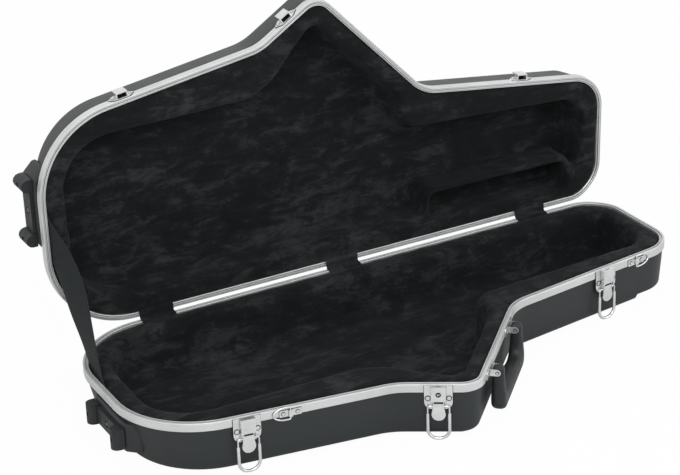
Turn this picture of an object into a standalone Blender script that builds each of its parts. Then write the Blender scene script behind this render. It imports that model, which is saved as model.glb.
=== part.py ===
"""Hard case for a tenor saxophone, standing open.

Two moulded shells meet at aluminium valances and hinge along the straight back edge. Plush-covered
foam fills both halves. Latches, strap rings and the handle sit on the base's front wall, catches on
the lid's, and a moulded end foot on the bell end of each half.

Metres, +Z up, +X towards the neck end, +Y towards the hinges. Plan positions are (along, out):
"along" runs from the bell end to the neck end and "out" from the hinge side to the front, both from
the inner edge of the valances. Heights and depths count from the plane where the halves meet.
"""

import math

import bmesh
import bpy
from mathutils import Matrix, Vector

# General clearances
FIT = 0.0003
SEAM = 0.0004
SLACK = 0.0006

# Plan of the case, at the valances' inner edge
INNER_LENGTH = 0.860
REAR_BELL_ALONG = 0.004
REAR_BELL_RADIUS = 0.112
FRONT_BELL_ALONG = -0.002
BELL_OUT = 0.284
FRONT_BELL_RADIUS = 0.110
KINK_ALONG = 0.316
KINK_OUT = 0.332
KINK_RADIUS = 0.072
APEX_ALONG = 0.402
APEX_OUT = 0.387
APEX_RADIUS = 0.024
CROOK_ALONG = 0.564
CROOK_OUT = 0.218
CROOK_RADIUS = 0.071
NECK_OUT = 0.176
NECK_FRONT_RADIUS = 0.0485
CHAMFER_OUT = 0.0275
CHAMFER_FRONT_RADIUS = 0.050
CHAMFER_ALONG = 0.029
CHAMFER_REAR_RADIUS = 0.036
ARC_STEP = math.radians(11)
SMALLEST_RADIUS = 0.002
LONGEST_TANGENT = 0.49

# Draft of each wall in degrees, in the plan's order: bell, front, apex, handle, neck, end, chamfer
# and hinge side. The lid's front slopes more than the base's.
BASE_DRAFTS = (14.0, 5.5, 3.5, 5.0, 4.0, 5.0, 5.0, 5.0)
LID_DRAFTS = (17.5, 12.0, 12.0, 7.0, 9.5, 7.0, 6.0, 5.0)
DRAFT_START = 0.009

# Shells
BASE_DEPTH = 0.0735
LID_DEPTH = 0.0660
SHELL_WALL = 0.003
SHELL_OUT = 0.0054
SHELL_EDGE = 0.0043
BOTTOM_ROUND = 0.008
PAD_BACK = 0.030

# The middle of each shell's floor stands out, and ends short of the bell and neck ends
STEP_HEIGHT = 0.005
STEP_RUN = 0.003
SIDE_LEDGE = 0.002
BELL_LEDGE = 0.024
END_LEDGE = 0.018
CHAMFER_LEDGE = 0.014

# Valances
VALANCE_WIDTH = 0.0074
VALANCE_DROP = 0.0115
VALANCE_LIP = 0.0085
VALANCE_LEG = 0.0017
VALANCE_INNER_LEG = 0.0019
VALANCE_ROUND = 0.0007
GROOVE_OUT = 0.0030
GROOVE_WIDTH = 0.0026
GROOVE_DEPTH = 0.0022
TONGUE_WIDTH = 0.0014
TONGUE_HEIGHT = 0.0016

# Hinges
LID_OPEN = 88.0
HINGE_SETBACK = 0.0099
HINGE_ALONG = (0.144, 0.430)
HINGE_FROM_NECK = 0.117
HINGE_LENGTH = 0.042
LEAF_HEIGHT = 0.018
LEAF_THICK = 0.001
KNUCKLE_RADIUS = 0.0021
HINGE_PIN_RADIUS = 0.0009
HINGE_PIN_PLAY = 0.0003
COVER_WIDTH = 0.050
COVER_THICK = 0.001
COVER_REACH = 0.012
COVER_FOLD = 0.0008

# Foam linings
LINING_RECESS = 0.0026
BORDER_ROLL = 0.007
BASE_CAVITY_DEPTH = 0.068
LID_CAVITY_DEPTH = 0.058
CAVITY_SLOPE = 0.010
FLOOR_CURVE = ((0.4, 1.0), (1.0, 0.3), (1.8, 0.0))
CAVITY_REAR_BELL = (0.036, 0.026)
CAVITY_REAR_BELL_RADIUS = 0.075
CAVITY_FRONT_BELL = (0.025, 0.262)
CAVITY_FRONT_BELL_RADIUS = 0.068
CAVITY_WAIST = (0.318, 0.266)
CAVITY_WAIST_RADIUS = 0.085
CAVITY_APEX = (0.398, 0.360)
CAVITY_APEX_RADIUS = 0.020
CAVITY_SHOULDER = (0.523, 0.226)
CAVITY_SHOULDER_RADIUS = 0.028
CAVITY_CROOK = (0.530, 0.170)
CAVITY_CROOK_RADIUS = 0.034
CAVITY_NECK_OUT = 0.152
CAVITY_NECK_INSET = 0.026
CAVITY_NECK_RADIUS = 0.036
CAVITY_REAR_OUT = 0.030
POCKET_ALONG = 0.580
POCKET_LENGTH = 0.232
POCKET_OUT = 0.014
POCKET_WIDTH = 0.042
POCKET_DEPTH = 0.060
POCKET_RADIUS = 0.010
POCKET_WALL = 0.008
POCKET_WALL_DROP = 0.007

# Stay strap between the two bell ends
STRAP_THICK = 0.0016
STRAP_LID_NEAR = 0.100
STRAP_LID_FAR = 0.165
STRAP_BASE_NEAR = 0.074
STRAP_BASE_FAR = 0.134
STRAP_INSET = 0.0012
STRAP_SINK = 0.016
STRAP_BOW = 0.016
STRAP_BOW_SKEW = 1.4
STRAP_PLATE_LENGTH = 0.040
STRAP_PLATE_HEIGHT = 0.007
STRAP_PLATE_DROP = 0.005
STRAP_PLATE_THICK = 0.001
STRAP_SLOT_MARGIN = 0.014
STRAP_SLOT_DEPTH = 0.022
STRAP_SLOT_BACK = 0.012

# Latches
LATCH_BELL_ALONG = 0.1180
LATCH_APEX_ALONG = 0.3620
LATCH_FROM_NECK = 0.1315
PLATE_THICK = 0.0012
PLATE_WIDTH = 0.036
PLATE_HEIGHT = 0.034
PLATE_START = 0.0006
PLATE_OVERHANG = 0.003
PLATE_ROUND = 0.010
HOUSING_WIDTH = 0.019
HOUSING_EAR_DROP = 0.0037
HOUSING_DEPTH = 0.0068
HOUSING_WALL = 0.0012
HOUSING_FRONT_DROP = 0.0205
HOUSING_SLOT_WIDTH = 0.008
HOUSING_SLOT_DEPTH = 0.0016
SCREW_SPACING = 0.027
SCREW_DROP = 0.0185
SCREW_HEAD_RADIUS = 0.0031
SCREW_HEAD_HEIGHT = 0.0004
LEVER_PIVOT_DROP = 0.023
LEVER_PIVOT_LIFT = 0.0028
LEVER_HUB_RADIUS = 0.0025
LEVER_FACE_LIFT = 0.0016
LEVER_TOP_DROP = 0.0235
LEVER_PIN_RADIUS = 0.0011
LEVER_PLAY = 0.0003
LEVER_WIDTH = 0.0148
LEVER_END_WIDTH = 0.018
LEVER_DROP = 0.0485
LEVER_TONGUE_THICK = 0.0015
LEVER_CHEEK = 0.0012
LEVER_CHEEK_BELOW = 0.0028
LEVER_SHOULDER = 0.008
BAIL_PIVOT_DROP = 0.0285
BAIL_WIDTH = 0.0275
BAIL_LENGTH = 0.048
BAIL_CORNER = 0.0125
BAIL_WIRE_RADIUS = 0.0011
BAIL_SLEEVE_RADIUS = 0.0021
BAIL_SLEEVE_START = 0.010
BAIL_TURN = 0.003
LOCK_DROP = 0.0105
LOCK_RADIUS = 0.0026
LOCK_LENGTH = 0.005
LOCK_PROUD = 0.0002
KEYWAY_WIDTH = 0.0007
KEYWAY_LENGTH = 0.003
KEYWAY_DEPTH = 0.0015

# Lid catches
CATCH_WIDTH = 0.036
CATCH_HEIGHT = 0.013
CATCH_START = 0.002
CATCH_HOOK_WIDTH = 0.016
CATCH_HOOK_START = 0.0035
CATCH_HOOK_HEIGHT = 0.009
CATCH_HOOK_REACH = 0.007
CATCH_LIP_HEIGHT = 0.0055
CATCH_FLANK = 0.002
CATCH_RIVET_HEIGHT = 0.0003
CATCH_RIVET_RADIUS = 0.0018
CATCH_RIVET_INSET = 0.0055
CATCH_LIP_THICK = 0.0014

# Strap rings
RING_BELL_ALONG = 0.1745
RING_FROM_NECK = 0.0740
RING_DROP = 0.0072
RING_WIDTH = 0.0225
RING_HEIGHT = 0.0170
RING_BEND = 0.72
RING_WIRE_RADIUS = 0.00115
CLIP_LENGTH = 0.029
CLIP_HEIGHT = 0.0090
CLIP_THICK = 0.0009
CLIP_RIVET_RADIUS = 0.0022
CLIP_RIVET_HEIGHT = 0.0007
CLIP_RIVET_INSET = 0.0050

# Handle
HANDLE_SPAN = 0.123
HANDLE_SHIFT = -0.0075
HANDLE_PIN_DROP = 0.0065
HANDLE_PIN_OUT = 0.0195
HANDLE_TOP = 0.0075
HANDLE_REACH = 0.0560
HANDLE_DEPTH = 0.0155
HANDLE_LEG_WIDTH = 0.0145
HANDLE_GRIP_HEIGHT = 0.0195
HANDLE_ROUND = 0.0045
HANDLE_CORNER = 0.012
GRIP_SWELL = 0.0060
HANDLE_PIN_RADIUS = 0.0016
BRACKET_WIDTH = 0.042
BRACKET_START = 0.001
BRACKET_HEIGHT = 0.0120
BRACKET_THICK = 0.0014
BRACKET_CORNER = 0.003
BRACKET_RIVET_RADIUS = 0.0024
BRACKET_RIVET_HEIGHT = 0.0008
EAR_HEIGHT = 0.0088
EAR_GAP = 0.0005

# End feet
FOOT_OUT = 0.168
FOOT_SPREAD = 0.078
FOOT_POST_WIDTH = 0.018
FOOT_POST_REACH = 0.0155
FOOT_POST_HEIGHT = 0.028
FOOT_PLATE_THICK = 0.0045
FOOT_PLATE_HEIGHT = 0.024
FOOT_CENTRE_DEPTH = 0.039
FOOT_PAD_SIDE = 0.012
FOOT_PAD_TAPER = 0.014
FOOT_PAD_RISE = 0.006
FOOT_PAD_OUT = 0.0068
FOOT_HOLE_RADIUS = 0.0032
FOOT_HOLE_DEPTH = 0.006
FOOT_SCREW_RADIUS = 0.0045
FOOT_SCREW_SEAT = 0.0022
FOOT_SCREW_SLOT = 0.0012

ORIGIN_ALONG = 0.40
ORIGIN_OUT = 0.14
RIM_HEIGHT = BASE_DEPTH + STEP_HEIGHT

# Small overlaps that let joined shapes fuse, and cutters pass right through
SINK = 0.0004
CLEAR = 0.002


def remove_scene_objects():
    for item in list(bpy.data.objects):
        bpy.data.objects.remove(item, do_unlink=True)


def new_collection(name):
    made = bpy.data.collections.new(name)
    bpy.context.scene.collection.children.link(made)
    return made


def new_material(name, colour, roughness, metallic=0.0):
    made = bpy.data.materials.new(name)
    made.use_nodes = True
    shader = made.node_tree.nodes["Principled BSDF"]
    shader.inputs["Base Color"].default_value = (*colour, 1.0)
    shader.inputs["Roughness"].default_value = roughness
    shader.inputs["Metallic"].default_value = metallic
    return made


remove_scene_objects()
PARTS = new_collection("tenor_sax_case")

ABS = new_material("moulded_abs", (0.045, 0.048, 0.050), 0.45)
ALUMINIUM = new_material("satin_aluminium", (0.62, 0.63, 0.63), 0.38, 0.9)
NICKEL = new_material("bright_nickel", (0.72, 0.72, 0.70), 0.18, 1.0)
PLUSH = new_material("black_plush", (0.012, 0.014, 0.014), 0.95)
WEB = new_material("black_web", (0.020, 0.021, 0.022), 0.85)
RUBBER = new_material("black_moulding", (0.025, 0.026, 0.027), 0.55)


def world(along, out, height):
    return Vector((along - ORIGIN_ALONG, ORIGIN_OUT - out, height + RIM_HEIGHT))


HINGE_AXIS = world(ORIGIN_ALONG, -HINGE_SETBACK, SEAM / 2)
LID_TILT = Matrix.Rotation(math.radians(-LID_OPEN), 4, "X")
OPENED = Matrix.Translation(HINGE_AXIS) @ LID_TILT @ Matrix.Translation(-HINGE_AXIS)

# Corners of the plan with their radii, in order from the hinge side round the bell end. Each wall
# of the plan starts at the corner of the same number.
PLAN = (
    ((REAR_BELL_ALONG, 0.0), REAR_BELL_RADIUS),
    ((FRONT_BELL_ALONG, BELL_OUT), FRONT_BELL_RADIUS),
    ((KINK_ALONG, KINK_OUT), KINK_RADIUS),
    ((APEX_ALONG, APEX_OUT), APEX_RADIUS),
    ((CROOK_ALONG, CROOK_OUT), CROOK_RADIUS),
    ((INNER_LENGTH, NECK_OUT), NECK_FRONT_RADIUS),
    ((INNER_LENGTH, CHAMFER_OUT), CHAMFER_FRONT_RADIUS),
    ((INNER_LENGTH - CHAMFER_ALONG, 0.0), CHAMFER_REAR_RADIUS),
)
BELL_WALL, FRONT_WALL, APEX_WALL, HANDLE_WALL, NECK_WALL, END_WALL, CHAMFER_WALL = range(7)
NO_MOVE = (0.0,) * len(PLAN)
LEDGES = [SIDE_LEDGE] * len(PLAN)
LEDGES[BELL_WALL] = BELL_LEDGE
LEDGES[END_WALL] = END_LEDGE
LEDGES[CHAMFER_WALL] = CHAMFER_LEDGE

NECK_CAVITY_END = INNER_LENGTH - CAVITY_NECK_INSET
CAVITY = (
    (CAVITY_REAR_BELL, CAVITY_REAR_BELL_RADIUS),
    (CAVITY_FRONT_BELL, CAVITY_FRONT_BELL_RADIUS),
    (CAVITY_WAIST, CAVITY_WAIST_RADIUS),
    (CAVITY_APEX, CAVITY_APEX_RADIUS),
    (CAVITY_SHOULDER, CAVITY_SHOULDER_RADIUS),
    (CAVITY_CROOK, CAVITY_CROOK_RADIUS),
    ((NECK_CAVITY_END, CAVITY_NECK_OUT), CAVITY_NECK_RADIUS),
    ((NECK_CAVITY_END, CAVITY_REAR_OUT), CAVITY_NECK_RADIUS),
)

# The two halves: the way their depth runs, their depth and the draft of their walls
BASE_HALF = (-1, BASE_DEPTH, BASE_DRAFTS)
LID_HALF = (1, LID_DEPTH, LID_DRAFTS)


def wall_direction(plan, wall):
    start = Vector(plan[wall][0])
    end = Vector(plan[(wall + 1) % len(plan)][0])
    return (end - start).normalized()


def drawn_in(outward, depth, drafts, ledges=NO_MOVE):
    """How far each wall lies outward of the plan at a depth, given its draft and its ledge."""
    drop = max(0.0, depth - DRAFT_START)
    return [
        outward - drop * math.tan(math.radians(draft)) - ledge
        for draft, ledge in zip(drafts, ledges)
    ]


def outline(plan, moves=NO_MOVE):
    """The plan with its walls moved outward, each by its own distance, and filleted corners."""
    count = len(plan)
    ways = [wall_direction(plan, k) for k in range(count)]
    normals = [Vector((-way.y, way.x)) for way in ways]
    corners = []
    for k in range(count):
        before, after = normals[k - 1], normals[k]
        level_before = before.dot(Vector(plan[k][0])) + moves[k - 1]
        level_after = after.dot(Vector(plan[k][0])) + moves[k]
        spread = before.x * after.y - before.y * after.x
        along = (level_before * after.y - level_after * before.y) / spread
        out = (before.x * level_after - after.x * level_before) / spread
        corners.append(Vector((along, out)))
    points = []
    for k in range(count):
        here = corners[k]
        turn = ways[k - 1].angle_signed(ways[k])
        grown = (moves[k - 1] + moves[k]) / 2
        radius = max(plan[k][1] + math.copysign(1.0, turn) * grown, SMALLEST_RADIUS)
        room = min((here - corners[k - 1]).length, (corners[(k + 1) % count] - here).length)
        tangent = min(radius * math.tan(abs(turn) / 2), LONGEST_TANGENT * room)
        radius = tangent / math.tan(abs(turn) / 2)
        start = here - ways[k - 1] * tangent
        side = normals[k - 1] * math.copysign(1.0, turn)
        centre = start - side * radius
        steps = max(2, round(abs(plan_turn(plan, k)) / ARC_STEP))
        for step in range(steps + 1):
            angle = -turn * step / steps
            spoke = side * radius
            turned = Vector(
                (
                    spoke.x * math.cos(angle) - spoke.y * math.sin(angle),
                    spoke.x * math.sin(angle) + spoke.y * math.cos(angle),
                )
            )
            points.append(centre + turned)
    return points


def plan_turn(plan, corner):
    return wall_direction(plan, corner - 1).angle_signed(wall_direction(plan, corner))


def ring(plan, moves, height):
    return [world(point.x, point.y, height) for point in outline(plan, moves)]


def level_ring(plan, outward, height):
    return ring(plan, (outward,) * len(plan), height)


def loft(rings, cap_first=False, cap_last=False, closed=False):
    """Skin a stack of like rings, each counterclockwise seen from above and listed upwards."""
    work = bmesh.new()
    loops = [[work.verts.new(point) for point in points] for points in rings]
    pairs = list(zip(loops, loops[1:]))
    if closed:
        pairs.append((loops[-1], loops[0]))
    for low, high in pairs:
        for k in range(len(low)):
            j = (k + 1) % len(low)
            work.faces.new((low[k], low[j], high[j], high[k]))
    if cap_first:
        work.faces.new(list(reversed(loops[0])))
    if cap_last:
        work.faces.new(loops[-1])
    if closed or (cap_first and cap_last):
        bmesh.ops.recalc_face_normals(work, faces=work.faces)
    mesh = bpy.data.meshes.new("loft")
    work.to_mesh(mesh)
    work.free()
    return mesh


def prism(points, low, high, axis="Y"):
    """A flat outline in the plane across an axis, given thickness along it."""
    slot = "XYZ".index(axis)
    rings = []
    for level in (low, high):
        rings.append([Vector((*point[:slot], level, *point[slot:])) for point in points])
    return loft(rings, True, True)


def box(low, high):
    work = bmesh.new()
    bmesh.ops.create_cube(work, size=1.0)
    size = Vector(high) - Vector(low)
    middle = (Vector(high) + Vector(low)) / 2
    bmesh.ops.scale(work, vec=size, verts=work.verts)
    bmesh.ops.translate(work, vec=middle, verts=work.verts)
    mesh = bpy.data.meshes.new("box")
    work.to_mesh(mesh)
    work.free()
    return mesh


def rod(radius, low, high, axis="X", centre=(0.0, 0.0), sides=16):
    """A cylinder along an axis between two levels, centred on the other two coordinates."""
    work = bmesh.new()
    bmesh.ops.create_cone(
        work, cap_ends=True, segments=sides, radius1=radius, radius2=radius, depth=high - low
    )
    middle = (low + high) / 2
    a, b = centre
    turns = {
        "X": (Matrix.Rotation(math.pi / 2, 4, "Y"), Vector((middle, a, b))),
        "Y": (Matrix.Rotation(math.pi / 2, 4, "X"), Vector((a, middle, b))),
        "Z": (Matrix.Identity(4), Vector((a, b, middle))),
    }
    turn, place = turns[axis]
    bmesh.ops.transform(work, matrix=Matrix.Translation(place) @ turn, verts=work.verts)
    mesh = bpy.data.meshes.new("rod")
    work.to_mesh(mesh)
    work.free()
    return mesh


def combined(mesh, joined=(), cut=()):
    """One mesh with others joined to it and cut from it."""
    body = bpy.data.objects.new("work", mesh)
    bpy.context.scene.collection.objects.link(body)
    helpers = []
    for kind, others in (("UNION", joined), ("DIFFERENCE", cut)):
        for other in others:
            helper = bpy.data.objects.new("helper", other)
            bpy.context.scene.collection.objects.link(helper)
            helpers.append(helper)
            step = body.modifiers.new(kind, "BOOLEAN")
            step.operation = kind
            step.solver = "EXACT"
            step.object = helper
    made = bpy.data.meshes.new_from_object(body.evaluated_get(bpy.context.evaluated_depsgraph_get()))
    for item in [body, *helpers]:
        bpy.data.objects.remove(item, do_unlink=True)
    return made


def rounded(width, height, radius, steps=4):
    """A rectangle with round corners, centred, as points."""
    points = []
    for corner in range(4):
        sign_a = 1 if corner in (0, 3) else -1
        sign_b = 1 if corner in (0, 1) else -1
        for step in range(steps + 1):
            angle = math.pi / 2 * (corner + step / steps)
            a = sign_a * (width / 2 - radius) + radius * math.cos(angle)
            b = sign_b * (height / 2 - radius) + radius * math.sin(angle)
            points.append((a, b))
    return points


def add_part(name, mesh, material, matrix=None, smooth=True):
    mesh.materials.clear()
    mesh.materials.append(material)
    if smooth:
        mesh.shade_smooth()
        mesh.set_sharp_from_angle(angle=math.radians(35))
    part = bpy.data.objects.new(name, mesh)
    PARTS.objects.link(part)
    if matrix is not None:
        part.matrix_world = matrix
    return part


def wall_spot(wall, along=None, out=None, height=0.0):
    """A frame on a wall of the plan: X to the right seen from outside, -Y outward, Z up."""
    start = Vector(PLAN[wall][0])
    way = wall_direction(PLAN, wall)
    if along is not None:
        spot = start + way * ((along - start.x) / way.x)
    elif out is not None:
        spot = start + way * ((out - start.y) / way.y)
    else:
        end = Vector(PLAN[(wall + 1) % len(PLAN)][0])
        spot = (start + end) / 2
    turn = math.atan2(-way.y, way.x)
    place = Matrix.Translation(world(spot.x, spot.y, height))
    return place @ Matrix.Rotation(turn, 4, "Z")


def lid_spot(wall, **place):
    return OPENED @ wall_spot(wall, height=SEAM, **place)


LATCHES = (
    ("bell", wall_spot(FRONT_WALL, along=LATCH_BELL_ALONG), (FRONT_WALL, LATCH_BELL_ALONG)),
    ("apex", wall_spot(APEX_WALL, along=LATCH_APEX_ALONG), (APEX_WALL, LATCH_APEX_ALONG)),
    (
        "neck",
        wall_spot(NECK_WALL, along=INNER_LENGTH - LATCH_FROM_NECK),
        (NECK_WALL, INNER_LENGTH - LATCH_FROM_NECK),
    ),
)
PLATE_BACK = VALANCE_WIDTH + FIT
PLATE_FACE = PLATE_BACK + PLATE_THICK
HOUSING_FACE = PLATE_FACE + HOUSING_DEPTH
LEVER_OUT = PLATE_FACE + LEVER_PIVOT_LIFT


def shell_rings(half, inward):
    """Rings of a half's surface, moved inward by a wall: the sides, then the stepped floor."""
    sign, deep, drafts = half
    reach = SHELL_OUT - inward
    roll = BOTTOM_ROUND - inward
    start = deep - BOTTOM_ROUND
    levels = [(reach, SHELL_EDGE), (reach, DRAFT_START), (reach, start)]
    steps = 4
    for step in range(1, steps + 1):
        angle = math.pi / 2 * step / steps
        levels.append((reach - roll * (1 - math.cos(angle)), start + roll * math.sin(angle)))
    sides = [ring(PLAN, drawn_in(out, depth, drafts), sign * depth) for out, depth in levels]
    corner = inward * math.tan(math.atan2(STEP_HEIGHT, STEP_RUN) / 2)
    floor = start + roll
    edge = drawn_in(reach - roll - corner, deep, drafts, LEDGES)
    foot = [move - STEP_RUN for move in edge]
    stepped = [ring(PLAN, edge, sign * floor), ring(PLAN, foot, sign * (floor + STEP_HEIGHT))]
    return sides, stepped


def build_shell(name, half, pads, matrix=None):
    """A shell as an open skin thickened inwards, with raised pads where hardware seats."""
    sides, stepped = shell_rings(half, 0.0)
    rings = sides + stepped
    if half[0] < 0:
        skin = loft(list(reversed(rings)), cap_first=True)
    else:
        skin = loft(rings, cap_last=True)
    body = bpy.data.objects.new(name, skin)
    bpy.context.scene.collection.objects.link(body)
    wall = body.modifiers.new("wall", "SOLIDIFY")
    wall.thickness = SHELL_WALL
    wall.offset = -1.0
    wall.use_even_offset = True
    wall.use_quality_normals = True
    graph = bpy.context.evaluated_depsgraph_get()
    mesh = bpy.data.meshes.new_from_object(body.evaluated_get(graph))
    bpy.data.objects.remove(body, do_unlink=True)
    mesh = combined(mesh, joined=pads)
    return add_part(name, mesh, ABS, matrix)


def pad_mesh(spot, width, low, high, out, core, sign, taper=0.0):
    """A raised pad with its back inside the wall behind it. Its sides may slope down to the wall."""
    ends = sorted((sign * low, sign * high))
    half = width / 2
    foot = -out + taper
    points = [(half - taper, -out), (half, foot), (half, PAD_BACK)]
    points += [(-a, b) for a, b in reversed(points)]
    if taper == 0.0:
        points = [(half, -out), (half, PAD_BACK), (-half, PAD_BACK), (-half, -out)]
    block = prism(points, *ends, "Z")
    block.transform(spot)
    return combined(block, cut=[core])


def build_shells():
    rise = FOOT_POST_HEIGHT / 2 + FOOT_PAD_RISE
    foot_ends = (FOOT_CENTRE_DEPTH - rise, FOOT_CENTRE_DEPTH + rise)
    foot_width = FOOT_SPREAD + FOOT_POST_WIDTH + 2 * FOOT_PAD_SIDE
    foot_spot = wall_spot(BELL_WALL, out=FOOT_OUT)
    latch_ends = (VALANCE_DROP + FIT, PLATE_HEIGHT)
    latch_width = PLATE_WIDTH - PLATE_OVERHANG
    for name, half, matrix in (
        ("base_shell", BASE_HALF, None),
        ("lid_shell", LID_HALF, OPENED @ Matrix.Translation((0, 0, SEAM))),
    ):
        sign = half[0]
        sides, stepped = shell_rings(half, SHELL_WALL / 2)
        rings = sides + stepped
        if sign < 0:
            rings.reverse()
        core = loft(rings, True, True)
        pads = [
            pad_mesh(foot_spot, foot_width, *foot_ends, FOOT_PAD_OUT, core, sign, FOOT_PAD_TAPER)
        ]
        if sign < 0:
            for latch, spot, place in LATCHES:
                pads.append(pad_mesh(spot, latch_width, *latch_ends, VALANCE_WIDTH, core, sign))
        build_shell(name, half, pads, matrix)


def build_valance(name, section, matrix=None):
    """An extruded rim bent round the plan, from a closed section of (outward, height) points."""
    rings = [level_ring(PLAN, out, height) for out, height in section]
    return add_part(name, loft(rings, closed=True), ALUMINIUM, matrix)


def valance_legs(sign):
    """The channel that grips a shell's edge, from the outer leg's foot round to the inner lip."""
    drop = sign * VALANCE_DROP
    roof = sign * (SHELL_EDGE - FIT)
    lip = sign * VALANCE_LIP
    bend = sign * VALANCE_ROUND
    return [
        (VALANCE_WIDTH - VALANCE_ROUND, 0.0),
        (VALANCE_WIDTH, bend),
        (VALANCE_WIDTH, drop),
        (VALANCE_WIDTH - VALANCE_LEG, drop),
        (VALANCE_WIDTH - VALANCE_LEG, roof),
        (VALANCE_INNER_LEG, roof),
        (VALANCE_INNER_LEG, lip),
        (0.0, lip),
        (0.0, bend),
        (VALANCE_ROUND, 0.0),
    ]


def build_valances():
    half_groove = GROOVE_WIDTH / 2
    groove = [
        (GROOVE_OUT - half_groove, 0.0),
        (GROOVE_OUT - half_groove, -GROOVE_DEPTH),
        (GROOVE_OUT + half_groove, -GROOVE_DEPTH),
        (GROOVE_OUT + half_groove, 0.0),
    ]
    build_valance("base_valance", valance_legs(-1) + groove)
    half_tongue = TONGUE_WIDTH / 2
    tongue = [
        (GROOVE_OUT - half_tongue, 0.0),
        (GROOVE_OUT - half_tongue, -TONGUE_HEIGHT),
        (GROOVE_OUT + half_tongue, -TONGUE_HEIGHT),
        (GROOVE_OUT + half_tongue, 0.0),
    ]
    lift = Matrix.Translation((0, 0, SEAM))
    build_valance("lid_valance", valance_legs(1) + tongue, OPENED @ lift)


def cavity_mesh(depth, sign):
    """The hollow for the instrument, flared at the top into the border's soft roll."""
    top = LINING_RECESS - SLACK
    levels = [(BORDER_ROLL + SLACK, top - CLEAR), (BORDER_ROLL, top)]
    steps = 3
    for step in range(1, steps + 1):
        angle = math.pi / 2 * step / steps
        out = BORDER_ROLL * (1 - math.sin(angle))
        levels.append((out, LINING_RECESS + BORDER_ROLL * (1 - math.cos(angle))))
    for inward, rise in FLOOR_CURVE:
        levels.append((-CAVITY_SLOPE * inward, depth - CAVITY_SLOPE * rise))
    rings = [level_ring(CAVITY, out, sign * level) for out, level in levels]
    if sign < 0:
        rings.reverse()
    return loft(rings, True, True)


def lining_block(half):
    """The foam's outside, which fills the shell and stops below the rim inside the valance."""
    sign = half[0]
    shelf = VALANCE_LIP + SLACK
    reach = SHELL_OUT - SHELL_WALL - SLACK
    sides, stepped = shell_rings(half, SHELL_WALL + SLACK)
    rings = [
        level_ring(PLAN, -SLACK, sign * LINING_RECESS),
        level_ring(PLAN, -SLACK, sign * shelf),
        level_ring(PLAN, reach, sign * shelf),
        *sides[2:],
        *stepped,
    ]
    if sign < 0:
        rings.reverse()
    return loft(rings, True, True)


def rim_along(out):
    """Where the bell end's inner edge lies at a distance from the hinge side."""
    points = [point for point in outline(PLAN) if point.x < INNER_LENGTH / 4]
    for first, second in zip(points, points[1:]):
        if first.y <= out <= second.y and second.y > first.y:
            return first.x + (second.x - first.x) * (out - first.y) / (second.y - first.y)
    return points[0].x


def chord_spot(near, far):
    """A frame on the chord of the bell end's edge: X from near to far, Y inward, Z up."""
    start = Vector((rim_along(near), near))
    end = Vector((rim_along(far), far))
    way = (end - start).normalized()
    turn = math.atan2(-way.y, way.x)
    middle = (start + end) / 2
    return Matrix.Translation(world(middle.x, middle.y, 0)) @ Matrix.Rotation(turn, 4, "Z")


def strap_slot(sign, near, far):
    """A slot in the foam's edge beside the valance, where the stay strap goes down."""
    spot = chord_spot(near, far)
    half = (far - near) / 2 + STRAP_SLOT_MARGIN
    room = STRAP_INSET + STRAP_THICK + STRAP_PLATE_THICK + 4 * FIT
    ends = sorted((-sign * CLEAR, sign * STRAP_SLOT_DEPTH))
    mesh = box((-half, -STRAP_SLOT_BACK, ends[0]), (half, room, ends[1]))
    mesh.transform(spot)
    return mesh


def pocket_mesh(grown, top, bottom):
    """The lid's pocket for the neck beside the hinge edge, grown all round."""
    points = [
        (a + POCKET_ALONG + POCKET_LENGTH / 2, b + POCKET_OUT + POCKET_WIDTH / 2)
        for a, b in rounded(
            POCKET_LENGTH + 2 * grown, POCKET_WIDTH + 2 * grown, POCKET_RADIUS + grown
        )
    ]
    points.reverse()
    levels = [[world(a, b, level) for a, b in points] for level in (top, bottom)]
    return loft(levels, True, True)


def build_linings():
    cuts = [cavity_mesh(BASE_CAVITY_DEPTH, -1), strap_slot(-1, STRAP_BASE_NEAR, STRAP_BASE_FAR)]
    base = combined(lining_block(BASE_HALF), cut=cuts)
    add_part("base_lining", base, PLUSH)
    wall = pocket_mesh(POCKET_WALL, POCKET_WALL_DROP, LID_DEPTH)
    cavity = combined(cavity_mesh(LID_CAVITY_DEPTH, 1), cut=[wall])
    pocket = pocket_mesh(0.0, -CLEAR, POCKET_DEPTH)
    cuts = [cavity, pocket, strap_slot(1, STRAP_LID_NEAR, STRAP_LID_FAR)]
    lid = combined(lining_block(LID_HALF), cut=cuts)
    add_part("lid_lining", lid, PLUSH, OPENED @ Matrix.Translation((0, 0, SEAM)))


def hinge_leaf(knuckles, sign):
    """A leaf with its curled knuckles, about the hinge axis: -Y towards the front, Z up."""
    face = HINGE_SETBACK - VALANCE_WIDTH - FIT
    half = HINGE_LENGTH / 2
    near = sign * (KNUCKLE_RADIUS + FIT)
    far = sign * LEAF_HEIGHT
    ends = sorted((near, far))
    plate = box((-half, -face, ends[0]), (half, -face + LEAF_THICK, ends[1]))
    bridge_ends = sorted((0.0, sign * (KNUCKLE_RADIUS + 2 * FIT)))
    joined = []
    for low, high in knuckles:
        joined.append(rod(KNUCKLE_RADIUS, low, high))
        joined.append(box((low, -face, bridge_ends[0]), (high, -face + LEAF_THICK, bridge_ends[1])))
    holes = [rod(HINGE_PIN_RADIUS + HINGE_PIN_PLAY, -half - CLEAR, half + CLEAR)]
    return combined(plate, joined=joined, cut=holes)


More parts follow.
